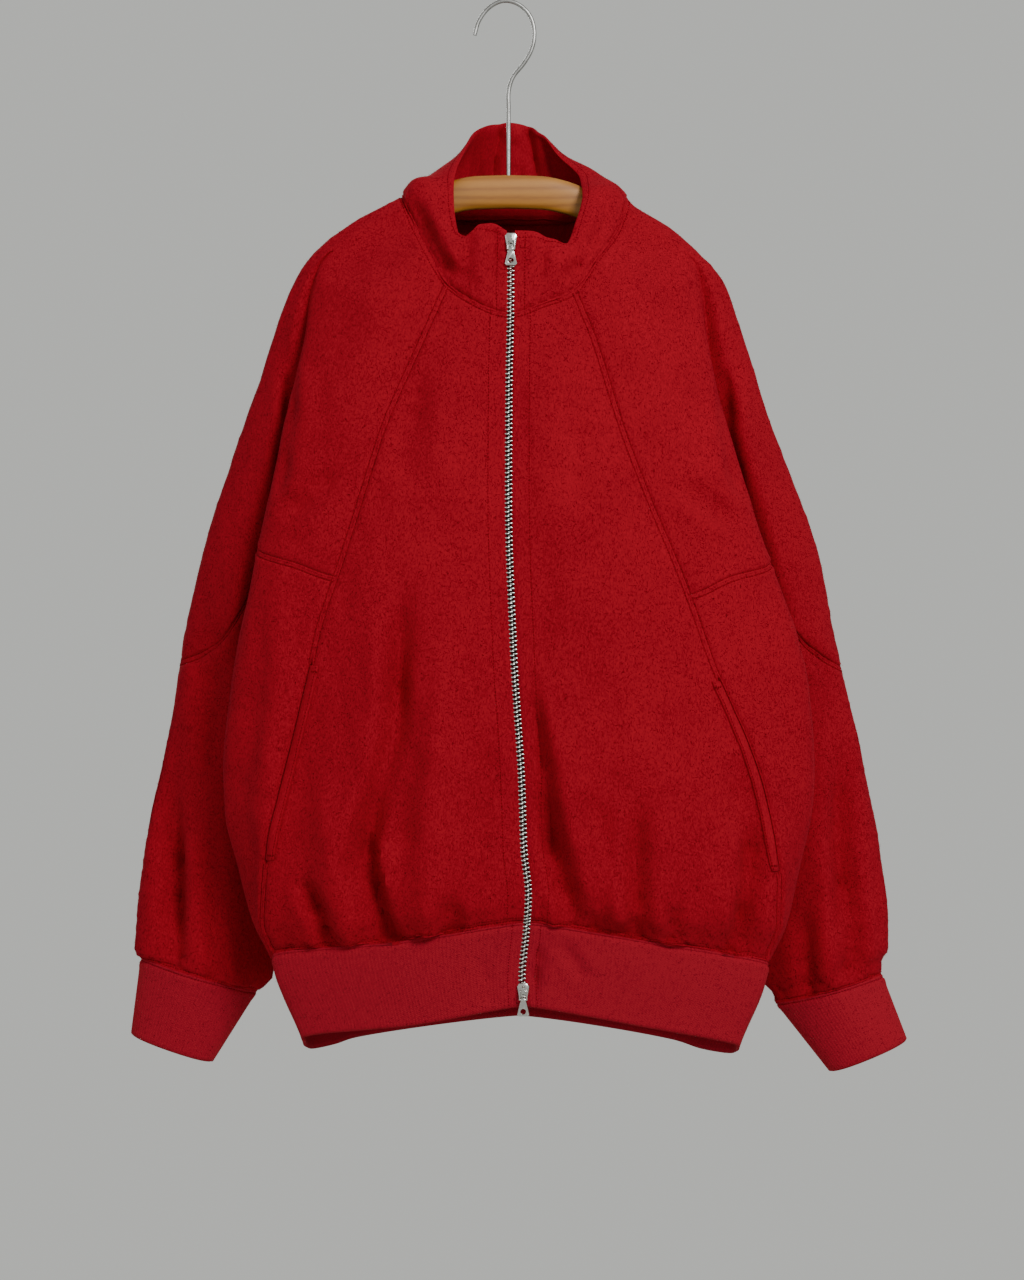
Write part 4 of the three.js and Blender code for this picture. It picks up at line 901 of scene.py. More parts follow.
@dataclass
class Finish:
    """A procedural material with a small node tree."""

    name: str

    def __post_init__(self) -> None:
        """Start the material with its shader and coordinates."""
        self.material = bpy.data.materials.new(self.name)
        self.material.use_nodes = True
        self.tree = self.material.node_tree
        self.shader = self.tree.nodes["Principled BSDF"]
        self.coords = self.tree.nodes.new("ShaderNodeTexCoord")

    def add(self, kind: str, links: dict[str, Socket] | None = None, **values: object) -> bpy.types.Node:
        """Add a node.

        Args:
            kind: Blender's type name for the node.
            links: Output sockets by the name of the input that they feed.
            values: Input values by name, or node settings where no input has the name.

        Returns:
            The new node.
        """
        node = self.tree.nodes.new(kind)
        for name, value in values.items():
            key = name.replace("_", " ").title()
            if key in node.inputs:
                node.inputs[key].default_value = value
            else:
                setattr(node, name, value)
        for name, socket in (links or {}).items():
            self.tree.links.new(socket, node.inputs[int(name) if name.isdigit() else name])
        return node

    def noise(self, size: float, detail: float = 2.0, vector: Socket | None = None) -> Socket:
        """Noise whose blotches are about the given size in metres."""
        source = vector or self.coords.outputs["Object"]
        node = self.add("ShaderNodeTexNoise", {"Vector": source}, scale=1 / size, detail=detail)
        return node.outputs["Fac"]

    def stretched(self, scale: tuple[float, float, float]) -> Socket:
        """Object coordinates stretched by a scale along each axis."""
        node = self.add("ShaderNodeMapping", {"Vector": self.coords.outputs["Object"]}, scale=scale)
        return node.outputs["Vector"]

    def ramp(self, factor: Socket, stops: list[tuple[float, str]]) -> Socket:
        """Colour from a factor, by places and hex codes."""
        node = self.add("ShaderNodeValToRGB", {"Fac": factor})
        elements = node.color_ramp.elements
        elements[0].position, elements[0].color = stops[0][0], srgb(stops[0][1])
        elements[1].position, elements[1].color = stops[-1][0], srgb(stops[-1][1])
        for place, code in stops[1:-1]:
            elements.new(place).color = srgb(code)
        return node.outputs["Color"]

    def math(self, operation: str, a: Socket, b: Socket | float) -> Socket:
        """One arithmetic step on two values."""
        node = self.add("ShaderNodeMath", {"0": a}, operation=operation)
        if isinstance(b, (int, float)):
            node.inputs[1].default_value = b
        else:
            self.tree.links.new(b, node.inputs[1])
        return node.outputs[0]

    def bump(self, height: Socket, depth: float, strength: float = 1.0,
             below: Socket | None = None) -> Socket:
        """Bump of a depth in metres, on top of another bump where one is given."""
        links = {"Height": height}
        if below is not None:
            links["Normal"] = below
        return self.add("ShaderNodeBump", links, strength=strength, distance=depth).outputs["Normal"]

    def finish(self, **values: object) -> bpy.types.Material:
        """Set sockets of the shader: numbers as they are, sockets as links."""
        for name, value in values.items():
            socket = self.shader.inputs[name.replace("_", " ").title().replace("Ior", "IOR")]
            if isinstance(value, Socket):
                self.tree.links.new(value, socket)
            else:
                socket.default_value = value
        return self.material


@dataclass(frozen=True)
class Fleece:
    """Brushed wool-blend fleece: a soft heathered red whose raised nap catches the light at its edges."""

    light: str = "#911320"
    middle: str = "#86101d"
    dark: str = "#7a0d19"

    def make(self, name: str = "brushed_wool_fleece") -> bpy.types.Material:
        """The matted nap shows as soft blotches and its fine fibres as a felted grain."""
        f = Finish(name)
        blotch = f.noise(0.05, 2.0)
        fibre = f.noise(0.0011, 3.0, f.stretched((1.0, 1.0, 0.45)))
        mixed = f.math("ADD", f.math("MULTIPLY", blotch, 0.2), f.math("MULTIPLY", fibre, 0.8))
        colour = f.ramp(mixed, [(0.36, self.dark), (0.5, self.middle), (0.64, self.light)])
        nap = f.bump(fibre, 0.0004, 0.3)
        return f.finish(
            base_color=colour, roughness=0.98, normal=nap, sheen_weight=0.12, sheen_roughness=0.6,
            sheen_tint=srgb("#c8323c"), specular_ior_level=0.04,
        )


@dataclass(frozen=True)
class FleeceHair:
    """Loose fibres of the brushed nap, a little lighter than the cloth that they stand on."""

    light: str = "#9b1927"
    dark: str = "#85101d"

    def make(self) -> bpy.types.Material:
        """The fibres differ a little in red, so the nap looks heathered."""
        f = Finish("brushed_wool_fibre")
        colour = f.ramp(f.noise(0.0023, 1.0), [(0.35, self.dark), (0.65, self.light)])
        return f.finish(base_color=colour, roughness=1.0, specular_ior_level=0.0)


@dataclass(frozen=True)
class RibKnit:
    """Ribbed knit of the hem band and cuffs: upright wales with rows of stitches in them."""

    pitch: float = 0.0031
    course: float = 0.0021
    light: str = "#981a27"
    dark: str = "#7c111d"

    def make(self) -> bpy.types.Material:
        """Upright wales and rows of stitches give the bump, and their waves also darken the colour in the
        hollows between them as painted shade; marled yarn gives small flecks.
        """
        f = Finish("marled_rib_knit")
        uv = f.add("ShaderNodeUVMap", uv_map="cloth").outputs["UV"]
        split = f.add("ShaderNodeSeparateXYZ", {"Vector": uv})
        wobble = f.math("MULTIPLY", f.noise(0.018, 1.0), 0.0012)
        across = f.math("ADD", split.outputs[0], wobble)
        wale = f.math("SINE", f.math("MULTIPLY", across, 2 * math.pi / self.pitch), 0.0)
        slanted = f.math("ADD", split.outputs[1], f.math("MULTIPLY", wale, 0.0006))
        course = f.math("SINE", f.math("MULTIPLY", slanted, 2 * math.pi / self.course), 0.0)
        # Painted shade: the colour darkens in the hollows between wales and between stitch rows
        painted_rib_shade = f.math("ADD", f.math("MULTIPLY", wale, 0.05), f.math("MULTIPLY", course, 0.06))
        fleck = f.math("MULTIPLY", f.noise(0.0016, 3.0), 0.7)
        tone = f.math("ADD", f.math("ADD", painted_rib_shade, fleck), 0.15)
        colour = f.ramp(tone, [(0.1, self.dark), (0.8, self.light)])
        ribs = f.bump(wale, 0.0002, 0.45)
        knit = f.bump(course, 0.0002, 0.5, ribs)
        hairs = f.bump(f.noise(0.0009, 3.0), 0.0003, 0.4, knit)
        return f.finish(
            base_color=colour, roughness=0.95, normal=hairs, sheen_weight=0.12, sheen_roughness=0.5,
            sheen_tint=srgb("#c84650"), specular_ior_level=0.05,
        )


@dataclass(frozen=True)
class ZipTape:
    """Woven polyester tape of the zip: a flat twill, smoother than the fleece; its dark red is partly the
    tape's own colour and partly painted shade, so the gaps between the teeth read dark.
    """

    # Dark red: partly the tape's own colour, partly painted shade between the teeth
    colour: str = "#6d0a12"

    def make(self) -> bpy.types.Material:
        """A fine diagonal weave gives the tape its dull, even sheen."""
        f = Finish("woven_zip_tape")
        wave = f.add("ShaderNodeTexWave", {"Vector": f.coords.outputs["Object"]}, scale=320.0, distortion=1.5,
                     bands_direction="DIAGONAL")
        weave = f.bump(wave.outputs["Fac"], 0.0002, 0.5)
        return f.finish(base_color=srgb(self.colour), roughness=0.8, normal=weave)


@dataclass(frozen=True)
class PlatedMetal:
    """Bright nickel-plated zip metal, rubbed in use."""

    name: str
    colour: str
    roughness: float

    def make(self) -> bpy.types.Material:
        """Small uneven dull spots keep the plating from looking like a mirror."""
        f = Finish(self.name)
        rub = f.add("ShaderNodeMapRange", {"Value": f.noise(0.0022, 4.0)})
        rub.inputs["To Min"].default_value = self.roughness - 0.08
        rub.inputs["To Max"].default_value = self.roughness + 0.12
        return f.finish(
            base_color=srgb(self.colour), metallic=1.0, roughness=rub.outputs["Result"],
            normal=f.bump(f.noise(0.0016, 3.0), 0.00006, 0.5),
        )


@dataclass(frozen=True)
class BrushedWire:
    """Satin steel wire, drawn lengthways and lightly tarnished."""

    colour: str = "#a9a9a7"

    def make(self) -> bpy.types.Material:
        """Fine lines along the wire soften its highlights."""
        f = Finish("drawn_satin_steel")
        lines = f.noise(0.0012, 4.0, f.stretched((1.0, 1.0, 0.06)))
        tone = f.ramp(f.noise(0.009, 3.0), [(0.3, "#8d8c89"), (0.7, self.colour)])
        return f.finish(base_color=tone, metallic=1.0, roughness=0.34, normal=f.bump(lines, 0.00004, 0.6))


@dataclass(frozen=True)
class VarnishedBeech:
    """Steamed beech, sanded and varnished, its grain running along the bar."""

    light: str = "#a36b22"
    middle: str = "#9b631c"
    dark: str = "#8d5716"

    def make(self) -> bpy.types.Material:
        """Long growth lines and short darker flecks show through a clear varnish."""
        f = Finish("varnished_beech")
        along = f.stretched((0.09, 1.0, 1.0))
        rings = f.add("ShaderNodeTexWave", {"Vector": along}, scale=36.0, distortion=5.0, detail=3.0,
                      bands_direction="Z", detail_scale=1.4)
        flecks = f.noise(0.0014, 3.0, f.stretched((0.16, 1.0, 1.0)))
        both = f.math("ADD", f.math("MULTIPLY", rings.outputs["Fac"], 0.6), f.math("MULTIPLY", flecks, 0.45))
        colour = f.ramp(both, [(0.2, self.dark), (0.5, self.middle), (0.85, self.light)])
        return f.finish(
            base_color=colour, roughness=0.5, coat_weight=0.14, coat_roughness=0.3,
            normal=f.bump(both, 0.00012, 0.4),
        )


@dataclass(frozen=True)
class PlainPaint:
    """Matt pale paint of the studio floor."""

    colour: str = "#c9cac6"

    def make(self) -> bpy.types.Material:
        """Even and dull."""
        f = Finish("matt_studio_floor")
        return f.finish(base_color=srgb(self.colour), roughness=0.9)


def new_object(name: str, vertices: Array, faces: list | Array,
               material: bpy.types.Material) -> bpy.types.Object:
    """Link a mesh object whose vertices are given in millimetres."""
    mesh = bpy.data.meshes.new(name)
    mesh.from_pydata((np.asarray(vertices) * MM).tolist(), [], np.asarray(faces).tolist())
    mesh.materials.append(material)
    mesh.shade_smooth()
    made = bpy.data.objects.new(name, mesh)
    bpy.context.scene.collection.objects.link(made)
    return made


def select_only(target: bpy.types.Object) -> None:
    """Make one object the only selected and the active one."""
    bpy.ops.object.select_all(action="DESELECT")
    target.select_set(True)
    bpy.context.view_layer.objects.active = target


@dataclass
class Wall:
    """A closed thin shell of cloth between an outer and an inner layer of points."""

    name: str
    outer: Array
    inner: Array
    flip: bool
    tube: bool = False
    rounded: tuple[bool, bool, bool, bool] = (False, False, False, False)

    def build(self, material: bpy.types.Material) -> bpy.types.Object:
        """Make the object, its edges rounded where they are free."""
        rows, columns = self.outer.shape[:2]
        vertices = np.concatenate([self.outer.reshape(-1, 3), self.inner.reshape(-1, 3)])
        layer = rows * columns
        number = np.arange(layer).reshape(rows, columns)
        if self.tube:
            number = np.concatenate([number, number[:, :1]], axis=1)
        a, b = number[:-1, :-1], number[:-1, 1:]
        d, e = number[1:, :-1], number[1:, 1:]
        outside = np.stack([a, d, e, b], axis=-1).reshape(-1, 4)
        inside = np.stack([a, b, e, d], axis=-1).reshape(-1, 4) + layer
        quads = [outside, inside]
        ids: dict[int, int] = {}
        middle: list[Array] = []
        edges = [
            (number[0, ::-1], self.outer[1], self.outer[0], self.rounded[0]),
            (number[-1], self.outer[-2], self.outer[-1], self.rounded[1]),
        ]
        if not self.tube:
            edges.append((number[:, 0], self.outer[:, 1], self.outer[:, 0], self.rounded[2]))
            edges.append((number[::-1, -1], self.outer[:, -2], self.outer[:, -1], self.rounded[3]))
        for loop, inside_row, edge_row, is_free in edges:
            away = edge_row - inside_row
            away /= np.maximum(np.linalg.norm(away, axis=1), 1e-9)[:, None]
            lookup = {int(k): vector for k, vector in zip(sorted(set(loop.tolist())), away)}
            bulge = 0.45 if is_free else 0.0
            for k in loop.tolist():
                if k not in ids:
                    o, i = vertices[k], vertices[k + layer]
                    ids[k] = len(vertices) + len(middle)
                    middle.append((o + i) / 2 + lookup[k] * float(np.linalg.norm(o - i)) * bulge)
            mids = np.array([ids[int(k)] for k in loop])
            quads.append(np.stack([loop[:-1], loop[1:], mids[1:], mids[:-1]], axis=-1)[:, ::-1])
            under = loop + layer
            quads.append(np.stack([mids[:-1], mids[1:], under[1:], under[:-1]], axis=-1)[:, ::-1])
        faces = np.concatenate(quads)
        if not self.flip:
            faces = faces[:, ::-1]
        made = new_object(self.name, np.concatenate([vertices, np.array(middle)]), faces, material)
        self._lay_uv(made, layer, len(vertices))
        return made

    def _lay_uv(self, made: bpy.types.Object, layer: int, walls: int) -> None:
        """Lay a map in metres along the cloth's columns and rows."""
        across, down = lengths_along(self.outer, 1), lengths_along(self.outer, 0)
        level = across.mean(axis=0)[None, :].repeat(len(across), 0)
        flat = np.stack([level, down], axis=-1).reshape(-1, 2) * MM
        spots = np.concatenate([flat, flat, np.zeros((len(made.data.vertices) - walls, 2))])
        corner = np.zeros(len(made.data.loops), np.int32)
        made.data.loops.foreach_get("vertex_index", corner)
        uv = made.data.uv_layers.new(name="cloth")
        uv.data.foreach_set("uv", spots[corner].astype(np.float32).ravel())


@dataclass
class Cut:
    """Flat cut of a panel: width and length in metres, and the area of its real outline."""

    width: float
    length: float
    area: float


@dataclass
class Panels:
    """Every piece of the jacket's cloth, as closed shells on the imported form."""

    cloth: Cloth
    fleece: bpy.types.Material
    knit: bpy.types.Material
    made: dict[str, bpy.types.Object] = field(default_factory=dict)

    def build(self) -> None:
        """Make one object for each panel."""
        for name in self.cloth.index:
            points, normals = self.cloth.patch(name)
            kind = panel_kind(name)
            tube = kind == "cuff"
            if tube:
                points, normals = points[:, :-1], normals[:, :-1]
            thickness = BAND if kind in BANDS else CLOTH
            free = tuple(not seam for seam in SEAM_EDGES[kind])
            inner = points - normals * thickness
            wall = Wall(f"cloth_{name}", points, inner, name.endswith("_right"), tube, free)
            made = wall.build(self.knit if kind in RIBBED else self.fleece)
            select_only(made)
            bpy.ops.object.shade_smooth_by_angle(angle=SEAM_ANGLE)
            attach(made, GARMENT)
            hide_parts(name)
            self.made[name] = made
            LOG.info("panel %s: %d vertices", name, len(made.data.vertices))


@dataclass
class Line:
    """A run of points on the cloth with the normals there."""

    points: Array
    normals: Array

    def resampled(self, pitch: float) -> "Line":
        """The same run at even steps."""
        along = run_length(self.points)
        places = np.arange(pitch / 2, along[-1], pitch)
        return Line(at_lengths(places, along, self.points), unit(at_lengths(places, along, self.normals)))


class Edge(Enum):
    """An edge of a panel."""

    TOP = "top"
    BOTTOM = "bottom"
    FIRST = "first"
    LAST = "last"


def beside(cloth: Cloth, name: str, edge: Edge, offset: float, inside: float = 0.0) -> Line:
    """Line on a panel that follows one edge at a distance.

    Args:
        cloth: The finished cloth.
        name: Panel.
        edge: Edge to follow.
        offset: Distance from it in millimetres.
        inside: Depth below the outer face, for a line on the inner face.

    Returns:
        The line, in the direction of the rows or columns.
    """
    points, normals = cloth.patch(name)
    if edge in (Edge.TOP, Edge.BOTTOM):
        points, normals = points.transpose(1, 0, 2), normals.transpose(1, 0, 2)
    if edge in (Edge.LAST, Edge.BOTTOM):
        points, normals = points[:, ::-1], normals[:, ::-1]
    along = lengths_along(points, 1)
    spots, directions = [], []
    for row, normal, length in zip(points, normals, along):
        if length[-1] < offset * 1.6:
            continue
        spots.append(at_lengths(offset, length, row))
        directions.append(at_lengths(offset, length, normal))
    found, facing = np.array(spots), unit(np.array(directions))
    if inside:
        return Line(found - facing * inside, -facing)
    return Line(found, facing)


@dataclass
class Stitching:
    """Rows of topstitching thread, each stitch a small spindle lying on the cloth."""

    cloth: Cloth
    thread: bpy.types.Material
    pitch: float = 2.7
    length: float = 2.1
    width: float = 0.42
    spots: list[Array] = field(default_factory=list)

    def sew(self, line: Line) -> None:
        """Lay one row along a line."""
        run = line.resampled(self.pitch)
        if len(run.points) < 2:
            return
        way = unit(np.gradient(run.points, axis=0))
        across = np.cross(run.normals, way)
        centre = run.points + run.normals * 0.12
        half = self.length / 2
        ring = [
            centre - way * half, centre + across * self.width - way * half * 0.3,
            centre + run.normals * self.width * 0.8, centre - across * self.width - way * half * 0.3,
            centre - run.normals * self.width * 0.5, centre + way * half,
        ]
        self.spots.append(np.stack(ring, axis=1))

    def build(self, name: str) -> bpy.types.Object:
        """Make one object of all rows sewn so far."""
        stitches = np.concatenate(self.spots)
        shape = np.array([
            [0, 1, 2], [0, 2, 3], [0, 3, 4], [0, 4, 1], [5, 2, 1], [5, 3, 2], [5, 4, 3], [5, 1, 4],
        ])[:, ::-1]
        faces = (shape[None, :, :] + 6 * np.arange(len(stitches))[:, None, None]).reshape(-1, 3)
        made = new_object(name, stitches.reshape(-1, 3), faces, self.thread)
        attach(made, GARMENT)
        self.spots = []
        LOG.info("%s: %d stitches", name, len(stitches))
        return made


@dataclass
class Nap:
    """Loose fibres standing from the outer face of a panel."""

    cloth: Cloth
    fibre: bpy.types.Material
    per_square: float = 0.27
    length: tuple[float, float] = (1.6, 3.8)
    width: float = 0.18
    raised_share: float = 0.16
    raised: tuple[float, float] = (20, 46)
    flat: tuple[float, float] = (2, 14)

    def grow(self, name: str, per_square: float | None = None) -> bpy.types.Object:
        """Grow fibres on one panel.

        Args:
            name: Panel.
            per_square: Fibres on each square millimetre, where it isn't the usual number.

        Returns:
            The fibres as one object.
        """
        rng = np.random.default_rng(SEED + sum(map(ord, name)))
        points, normals = self.cloth.patch(name)
        a, b, d, e = points[:-1, :-1], points[:-1, 1:], points[1:, :-1], points[1:, 1:]
        area = np.linalg.norm(np.cross(e - a, d - b), axis=2).ravel() / 2
        wanted = int(area.sum() * (per_square or self.per_square))
        cell = rng.choice(len(area), wanted, p=area / area.sum())
        u, v = rng.random(wanted)[:, None], rng.random(wanted)[:, None]

        def inside(grid: Array) -> Array:
            """Bilinear value of a grid in the chosen cells."""
            corners = [grid[:-1, :-1], grid[:-1, 1:], grid[1:, :-1], grid[1:, 1:]]
            p, q, r, s = (corner.reshape(-1, 3)[cell] for corner in corners)
            return (p * (1 - u) + q * u) * (1 - v) + (r * (1 - u) + s * u) * v

        root, normal = inside(points), unit(inside(normals))
        lay = rng.normal(size=(wanted, 3)) + np.array([0.0, 0.0, -0.55])
        lay -= normal * np.sum(lay * normal, axis=1)[:, None]
        lay = unit(lay)
        raised = rng.random(wanted) < self.raised_share
        degrees = np.where(raised, rng.uniform(*self.raised, wanted), rng.uniform(*self.flat, wanted))
        lift = np.radians(degrees)[:, None]
        long = rng.uniform(*self.length, wanted)[:, None]
        tip = root + (lay * np.cos(lift) + normal * np.sin(lift)) * long
        across = np.cross(normal, lay) * self.width / 2
        base = root - normal * 0.1
        vertices = np.stack([base - across, tip, base + across], axis=1).reshape(-1, 3)
        faces = np.arange(wanted * 3).reshape(-1, 3)
        made = new_object(f"nap_{name}", vertices, faces[:, ::-1], self.fibre)
        shading = unit(np.repeat(normal + lay * 0.3, 3, axis=0))
        made.data.normals_split_custom_set_from_vertices(shading.tolist())
        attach(made, GARMENT)
        return made


@dataclass
class ZipChain:
    """The zip's two tapes, its metal teeth and the slider parts."""

    cloth: Cloth
    metal: bpy.types.Material
    tape: bpy.types.Material
    pitch: float = 3.8
    tooth_width: float = 4.1
    tooth_height: float = 1.35
    tooth_depth: float = 2.0
    tooth_offset: float = 2.25
    tooth_sink: float = 1.0
    end_space: float = 2.0
    tape_faces: tuple[float, float] = (3.6, 4.5)
    tape_columns: tuple[float, ...] = (-2.4, 0.5, 4.0, 8.0)

    def _edge(self, side: Side) -> tuple[Array, Array]:
        """Points of a front edge from the collar to the rib's end, and the outward normals there."""
        column = 0 if side is Side.LEFT else -1
        names = ("collar", f"front_{side.value}", "hem_rib")
        points, normals = [], []
        for k, name in enumerate(names):
            patch, facing = self.cloth.patch(name)
            at = 0 if name.startswith("front") else column
            points.append(patch[1 if k else 0:, at])
            normals.append(facing[1 if k else 0:, at])
        return np.concatenate(points), np.concatenate(normals)

    def build_tape(self, side: Side) -> bpy.types.Object:
        """Weave one tape behind a front edge, wide enough to be sewn to it."""
        points, normals = self._edge(side)
        back = unit(np.stack([np.zeros(len(points)), -normals[:, 1], -normals[:, 2]], axis=1))
        out = np.array([side.sign, 0.0, 0.0])
        layers = []
        for depth in self.tape_faces:
            columns = [
                points + out * step + back * (depth + abs(step) * 0.02) for step in self.tape_columns
            ]
            layers.append(np.stack(columns, axis=1))
        made = Wall(f"zip_tape_cloth_{side.value}", layers[0], layers[1], side is Side.RIGHT).build(self.tape)
        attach(made, GARMENT)
        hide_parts(f"zip_tape_{side.value}")
        return made

    def _tooth(self) -> tuple[Array, list[tuple[int, ...]]]:
        """One tooth modelled as a bevelled block, in millimetres."""
        bpy.ops.object.select_all(action="DESELECT")
        bpy.ops.mesh.primitive_cube_add(size=1.0)
        block = bpy.context.active_object
        block.scale = (self.tooth_width, self.tooth_depth, self.tooth_height)
        bpy.ops.object.transform_apply(location=False, rotation=False, scale=True)
        block.modifiers.new("edges", "BEVEL").width = 0.32
        bpy.ops.object.modifier_apply(modifier="edges")
        corners = np.array([vertex.co[:] for vertex in block.data.vertices])
        faces = [tuple(polygon.vertices) for polygon in block.data.polygons]
        bpy.data.objects.remove(block)
        return corners, faces

    def build_teeth(self, side: Side) -> bpy.types.Object:
        """Set the teeth of one side, half a pitch apart from the other's."""
        corners, faces = self._tooth()
        points, normals = self._edge(side)
        line = Line(points, normals)
        shifted = Line(line.points[:-1], line.normals[:-1]) if side is Side.LEFT else line
        along = run_length(shifted.points)
        start = self.end_space + side.place * self.pitch / 2
        places = np.arange(start, along[-1] - self.end_space, self.pitch)
        spots = at_lengths(places, along, shifted.points)
        facing = at_lengths(places, along, shifted.normals)
        vertices, polygons = [], []
        for spot, normal in zip(spots, facing):
            out = unit(np.array([0.0, normal[1], normal[2]]))
            up = np.array([0.0, out[2], -out[1]])
            centre = spot - np.array([side.sign * self.tooth_offset, 0.0, 0.0]) - out * self.tooth_sink
            axes = np.array([[1.0, 0.0, 0.0], -out, up])
            placed = centre + sum(corners[:, k:k + 1] * axes[k] for k in range(3))
            base = len(vertices) * len(corners)
            vertices.append(placed)
            polygons.extend(tuple(base + k for k in face) for face in faces)
        mesh = bpy.data.meshes.new(f"zip_teeth_{side.value}")
        mesh.from_pydata((np.concatenate(vertices) * MM).tolist(), [], polygons)
        mesh.materials.append(self.metal)
        made = bpy.data.objects.new(f"zip_teeth_{side.value}", mesh)
        bpy.context.scene.collection.objects.link(made)
        select_only(made)
        bpy.ops.object.mode_set(mode="EDIT")
        bpy.ops.mesh.select_all(action="SELECT")
        bpy.ops.mesh.normals_make_consistent(inside=False)
        bpy.ops.object.mode_set(mode="OBJECT")
        bpy.ops.object.shade_smooth_by_angle(angle=METAL_ANGLE)
        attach(made, GARMENT)
        LOG.info("zip teeth %s: %d", side.value, len(vertices))
        return made

    def round_off(self, node: str, body: str, width: float) -> bpy.types.Object:
        """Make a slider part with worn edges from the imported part's form.

        Args:
            node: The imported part.
            body: The body that it moves with.
            width: Width of the rounded edges in millimetres.

        Returns:
            The rounded part.
        """
        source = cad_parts[node]
        made = bpy.data.objects.new(f"{node}_worn", source.data.copy())
        bpy.context.scene.collection.objects.link(made)
        select_only(made)
        bpy.ops.object.mode_set(mode="EDIT")
        bpy.ops.mesh.select_all(action="SELECT")
        bpy.ops.mesh.remove_doubles(threshold=0.00002)
        bpy.ops.mesh.dissolve_limited(angle_limit=math.radians(3))
        bpy.ops.object.mode_set(mode="OBJECT")
        bevel = made.modifiers.new("worn", "BEVEL")
        bevel.width, bevel.segments, bevel.angle_limit = width * MM, 2, math.radians(40)
        bpy.ops.object.modifier_apply(modifier="worn")
        bpy.ops.object.shade_smooth_by_angle(angle=WORN_ANGLE)
        made.data.materials.clear()
        made.data.materials.append(self.metal)
        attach(made, body)
        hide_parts(node)
        return made

    def build_sliders(self) -> None:
        """Make both sliders with their bails and tabs."""
        for place, level in (("top", "upper"), ("bottom", "lower")):
            self.round_off(f"slider_{place}", GARMENT, 0.35)
            self.round_off(f"bail_{place}", f"bail_{level}", 0.3)
            self.round_off(f"tab_{place}", f"tab_{level}", 0.22)


@dataclass
class Hanger:
    """The wooden bar with its steel hook."""

    wood: bpy.types.Material
    steel: bpy.types.Material
    shaft_x: float = 4.1
    wire: float = 1.9
    half_thickness: float = 6.0
    profile: tuple[tuple[float, ...], ...] = (
        (0, -155, -185), (30, -156, -186), (54, -161, -191), (95, -181, -208), (120, -195.5, -221),
        (140, -208, -232), (158, -221.5, -244), (171, -233.5, -252), (177, -241, -250),
    )
    route: tuple[tuple[float, float], ...] = (
        (-26.5, -29), (-22.5, -16), (-12.5, -3.5), (0, 1.9), (12.5, -1), (23, -11), (27.2, -25), (25.5, -40),
        (18.5, -53.5), (8, -67), (4.3, -79), (4.1, -95), (4.1, -130), (4.1, -168),
    )

    def build_bar(self) -> bpy.types.Object:
        """Turn a round primitive into the shaped, rounded bar."""
        bpy.ops.object.select_all(action="DESELECT")
        bpy.ops.mesh.primitive_uv_sphere_add(segments=40, ring_count=90, rotation=(0, math.pi / 2, 0))
        bar = bpy.context.active_object
        bpy.ops.object.transform_apply(location=False, rotation=True, scale=False)
        co = np.array([vertex.co[:] for vertex in bar.data.vertices])
        reach = self.profile[-1][0]
        table = [tuple(row) for row in self.profile]
        away = np.abs(co[:, 0]) * reach
        top, under = sample(table, 1, away), sample(table, 2, away)
        thin = self.half_thickness * np.minimum(1, (top - under) / 20)
        radius = np.maximum(np.hypot(co[:, 1], co[:, 2]), 1e-9)
        cosine, sine = co[:, 1] / radius, co[:, 2] / radius
        closing = np.sqrt(np.clip((1 - np.abs(co[:, 0])) / 0.02, 0, 1))
        placed = np.stack([
            self.shaft_x + np.sign(co[:, 0]) * away,
            thin * closing * np.sign(cosine) * np.abs(cosine) ** 0.75,
            (top + under) / 2 + (top - under) / 2 * closing * np.sign(sine) * np.abs(sine) ** 0.9,
        ], axis=1) * MM
        bar.data.vertices.foreach_set("co", placed.astype(np.float32).ravel())
        bar.name = "hanger_bar"
        select_only(bar)
        bpy.ops.object.shade_smooth()
        bar.data.materials.append(self.wood)
        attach(bar, GARMENT)
        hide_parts("hanger_wood")
        return bar

    def build_hook(self) -> bpy.types.Object:
        """Bend the hook's wire as a round curve and turn it into a mesh."""
        line = np.array([(x, 0.0, z) for x, z in self.route])
        ends = np.concatenate([[2 * line[0] - line[1]], line, [2 * line[-1] - line[-2]]])
        points = Curve(ends).at(np.linspace(0, len(line) - 1, 110)) * MM
        bpy.ops.object.select_all(action="DESELECT")
        bpy.ops.curve.primitive_nurbs_path_add()
        wire = bpy.context.active_object
        wire.data.splines.clear()
        spline = wire.data.splines.new("POLY")
        spline.points.add(len(points) - 1)
        spline.points.foreach_set("co", np.column_stack([points, np.ones(len(points))]).ravel())
        wire.data.dimensions = "3D"
        wire.data.bevel_depth = self.wire * MM
        wire.data.bevel_resolution = 5
        wire.data.use_fill_caps = True
        select_only(wire)
        bpy.ops.object.convert(target="MESH")
        hook = bpy.context.active_object
        bpy.ops.object.mode_set(mode="EDIT")
        bpy.ops.mesh.select_all(action="SELECT")
        bpy.ops.mesh.remove_doubles(threshold=0.00001)
        bpy.ops.mesh.normals_make_consistent(inside=False)
        bpy.ops.object.mode_set(mode="OBJECT")
        hook.name = "hook_wire"
        hook.data.materials.append(self.steel)
        bpy.ops.object.shade_smooth_by_angle(angle=METAL_ANGLE)
        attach(hook, GARMENT)
        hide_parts("hanger_hook")
        return hook


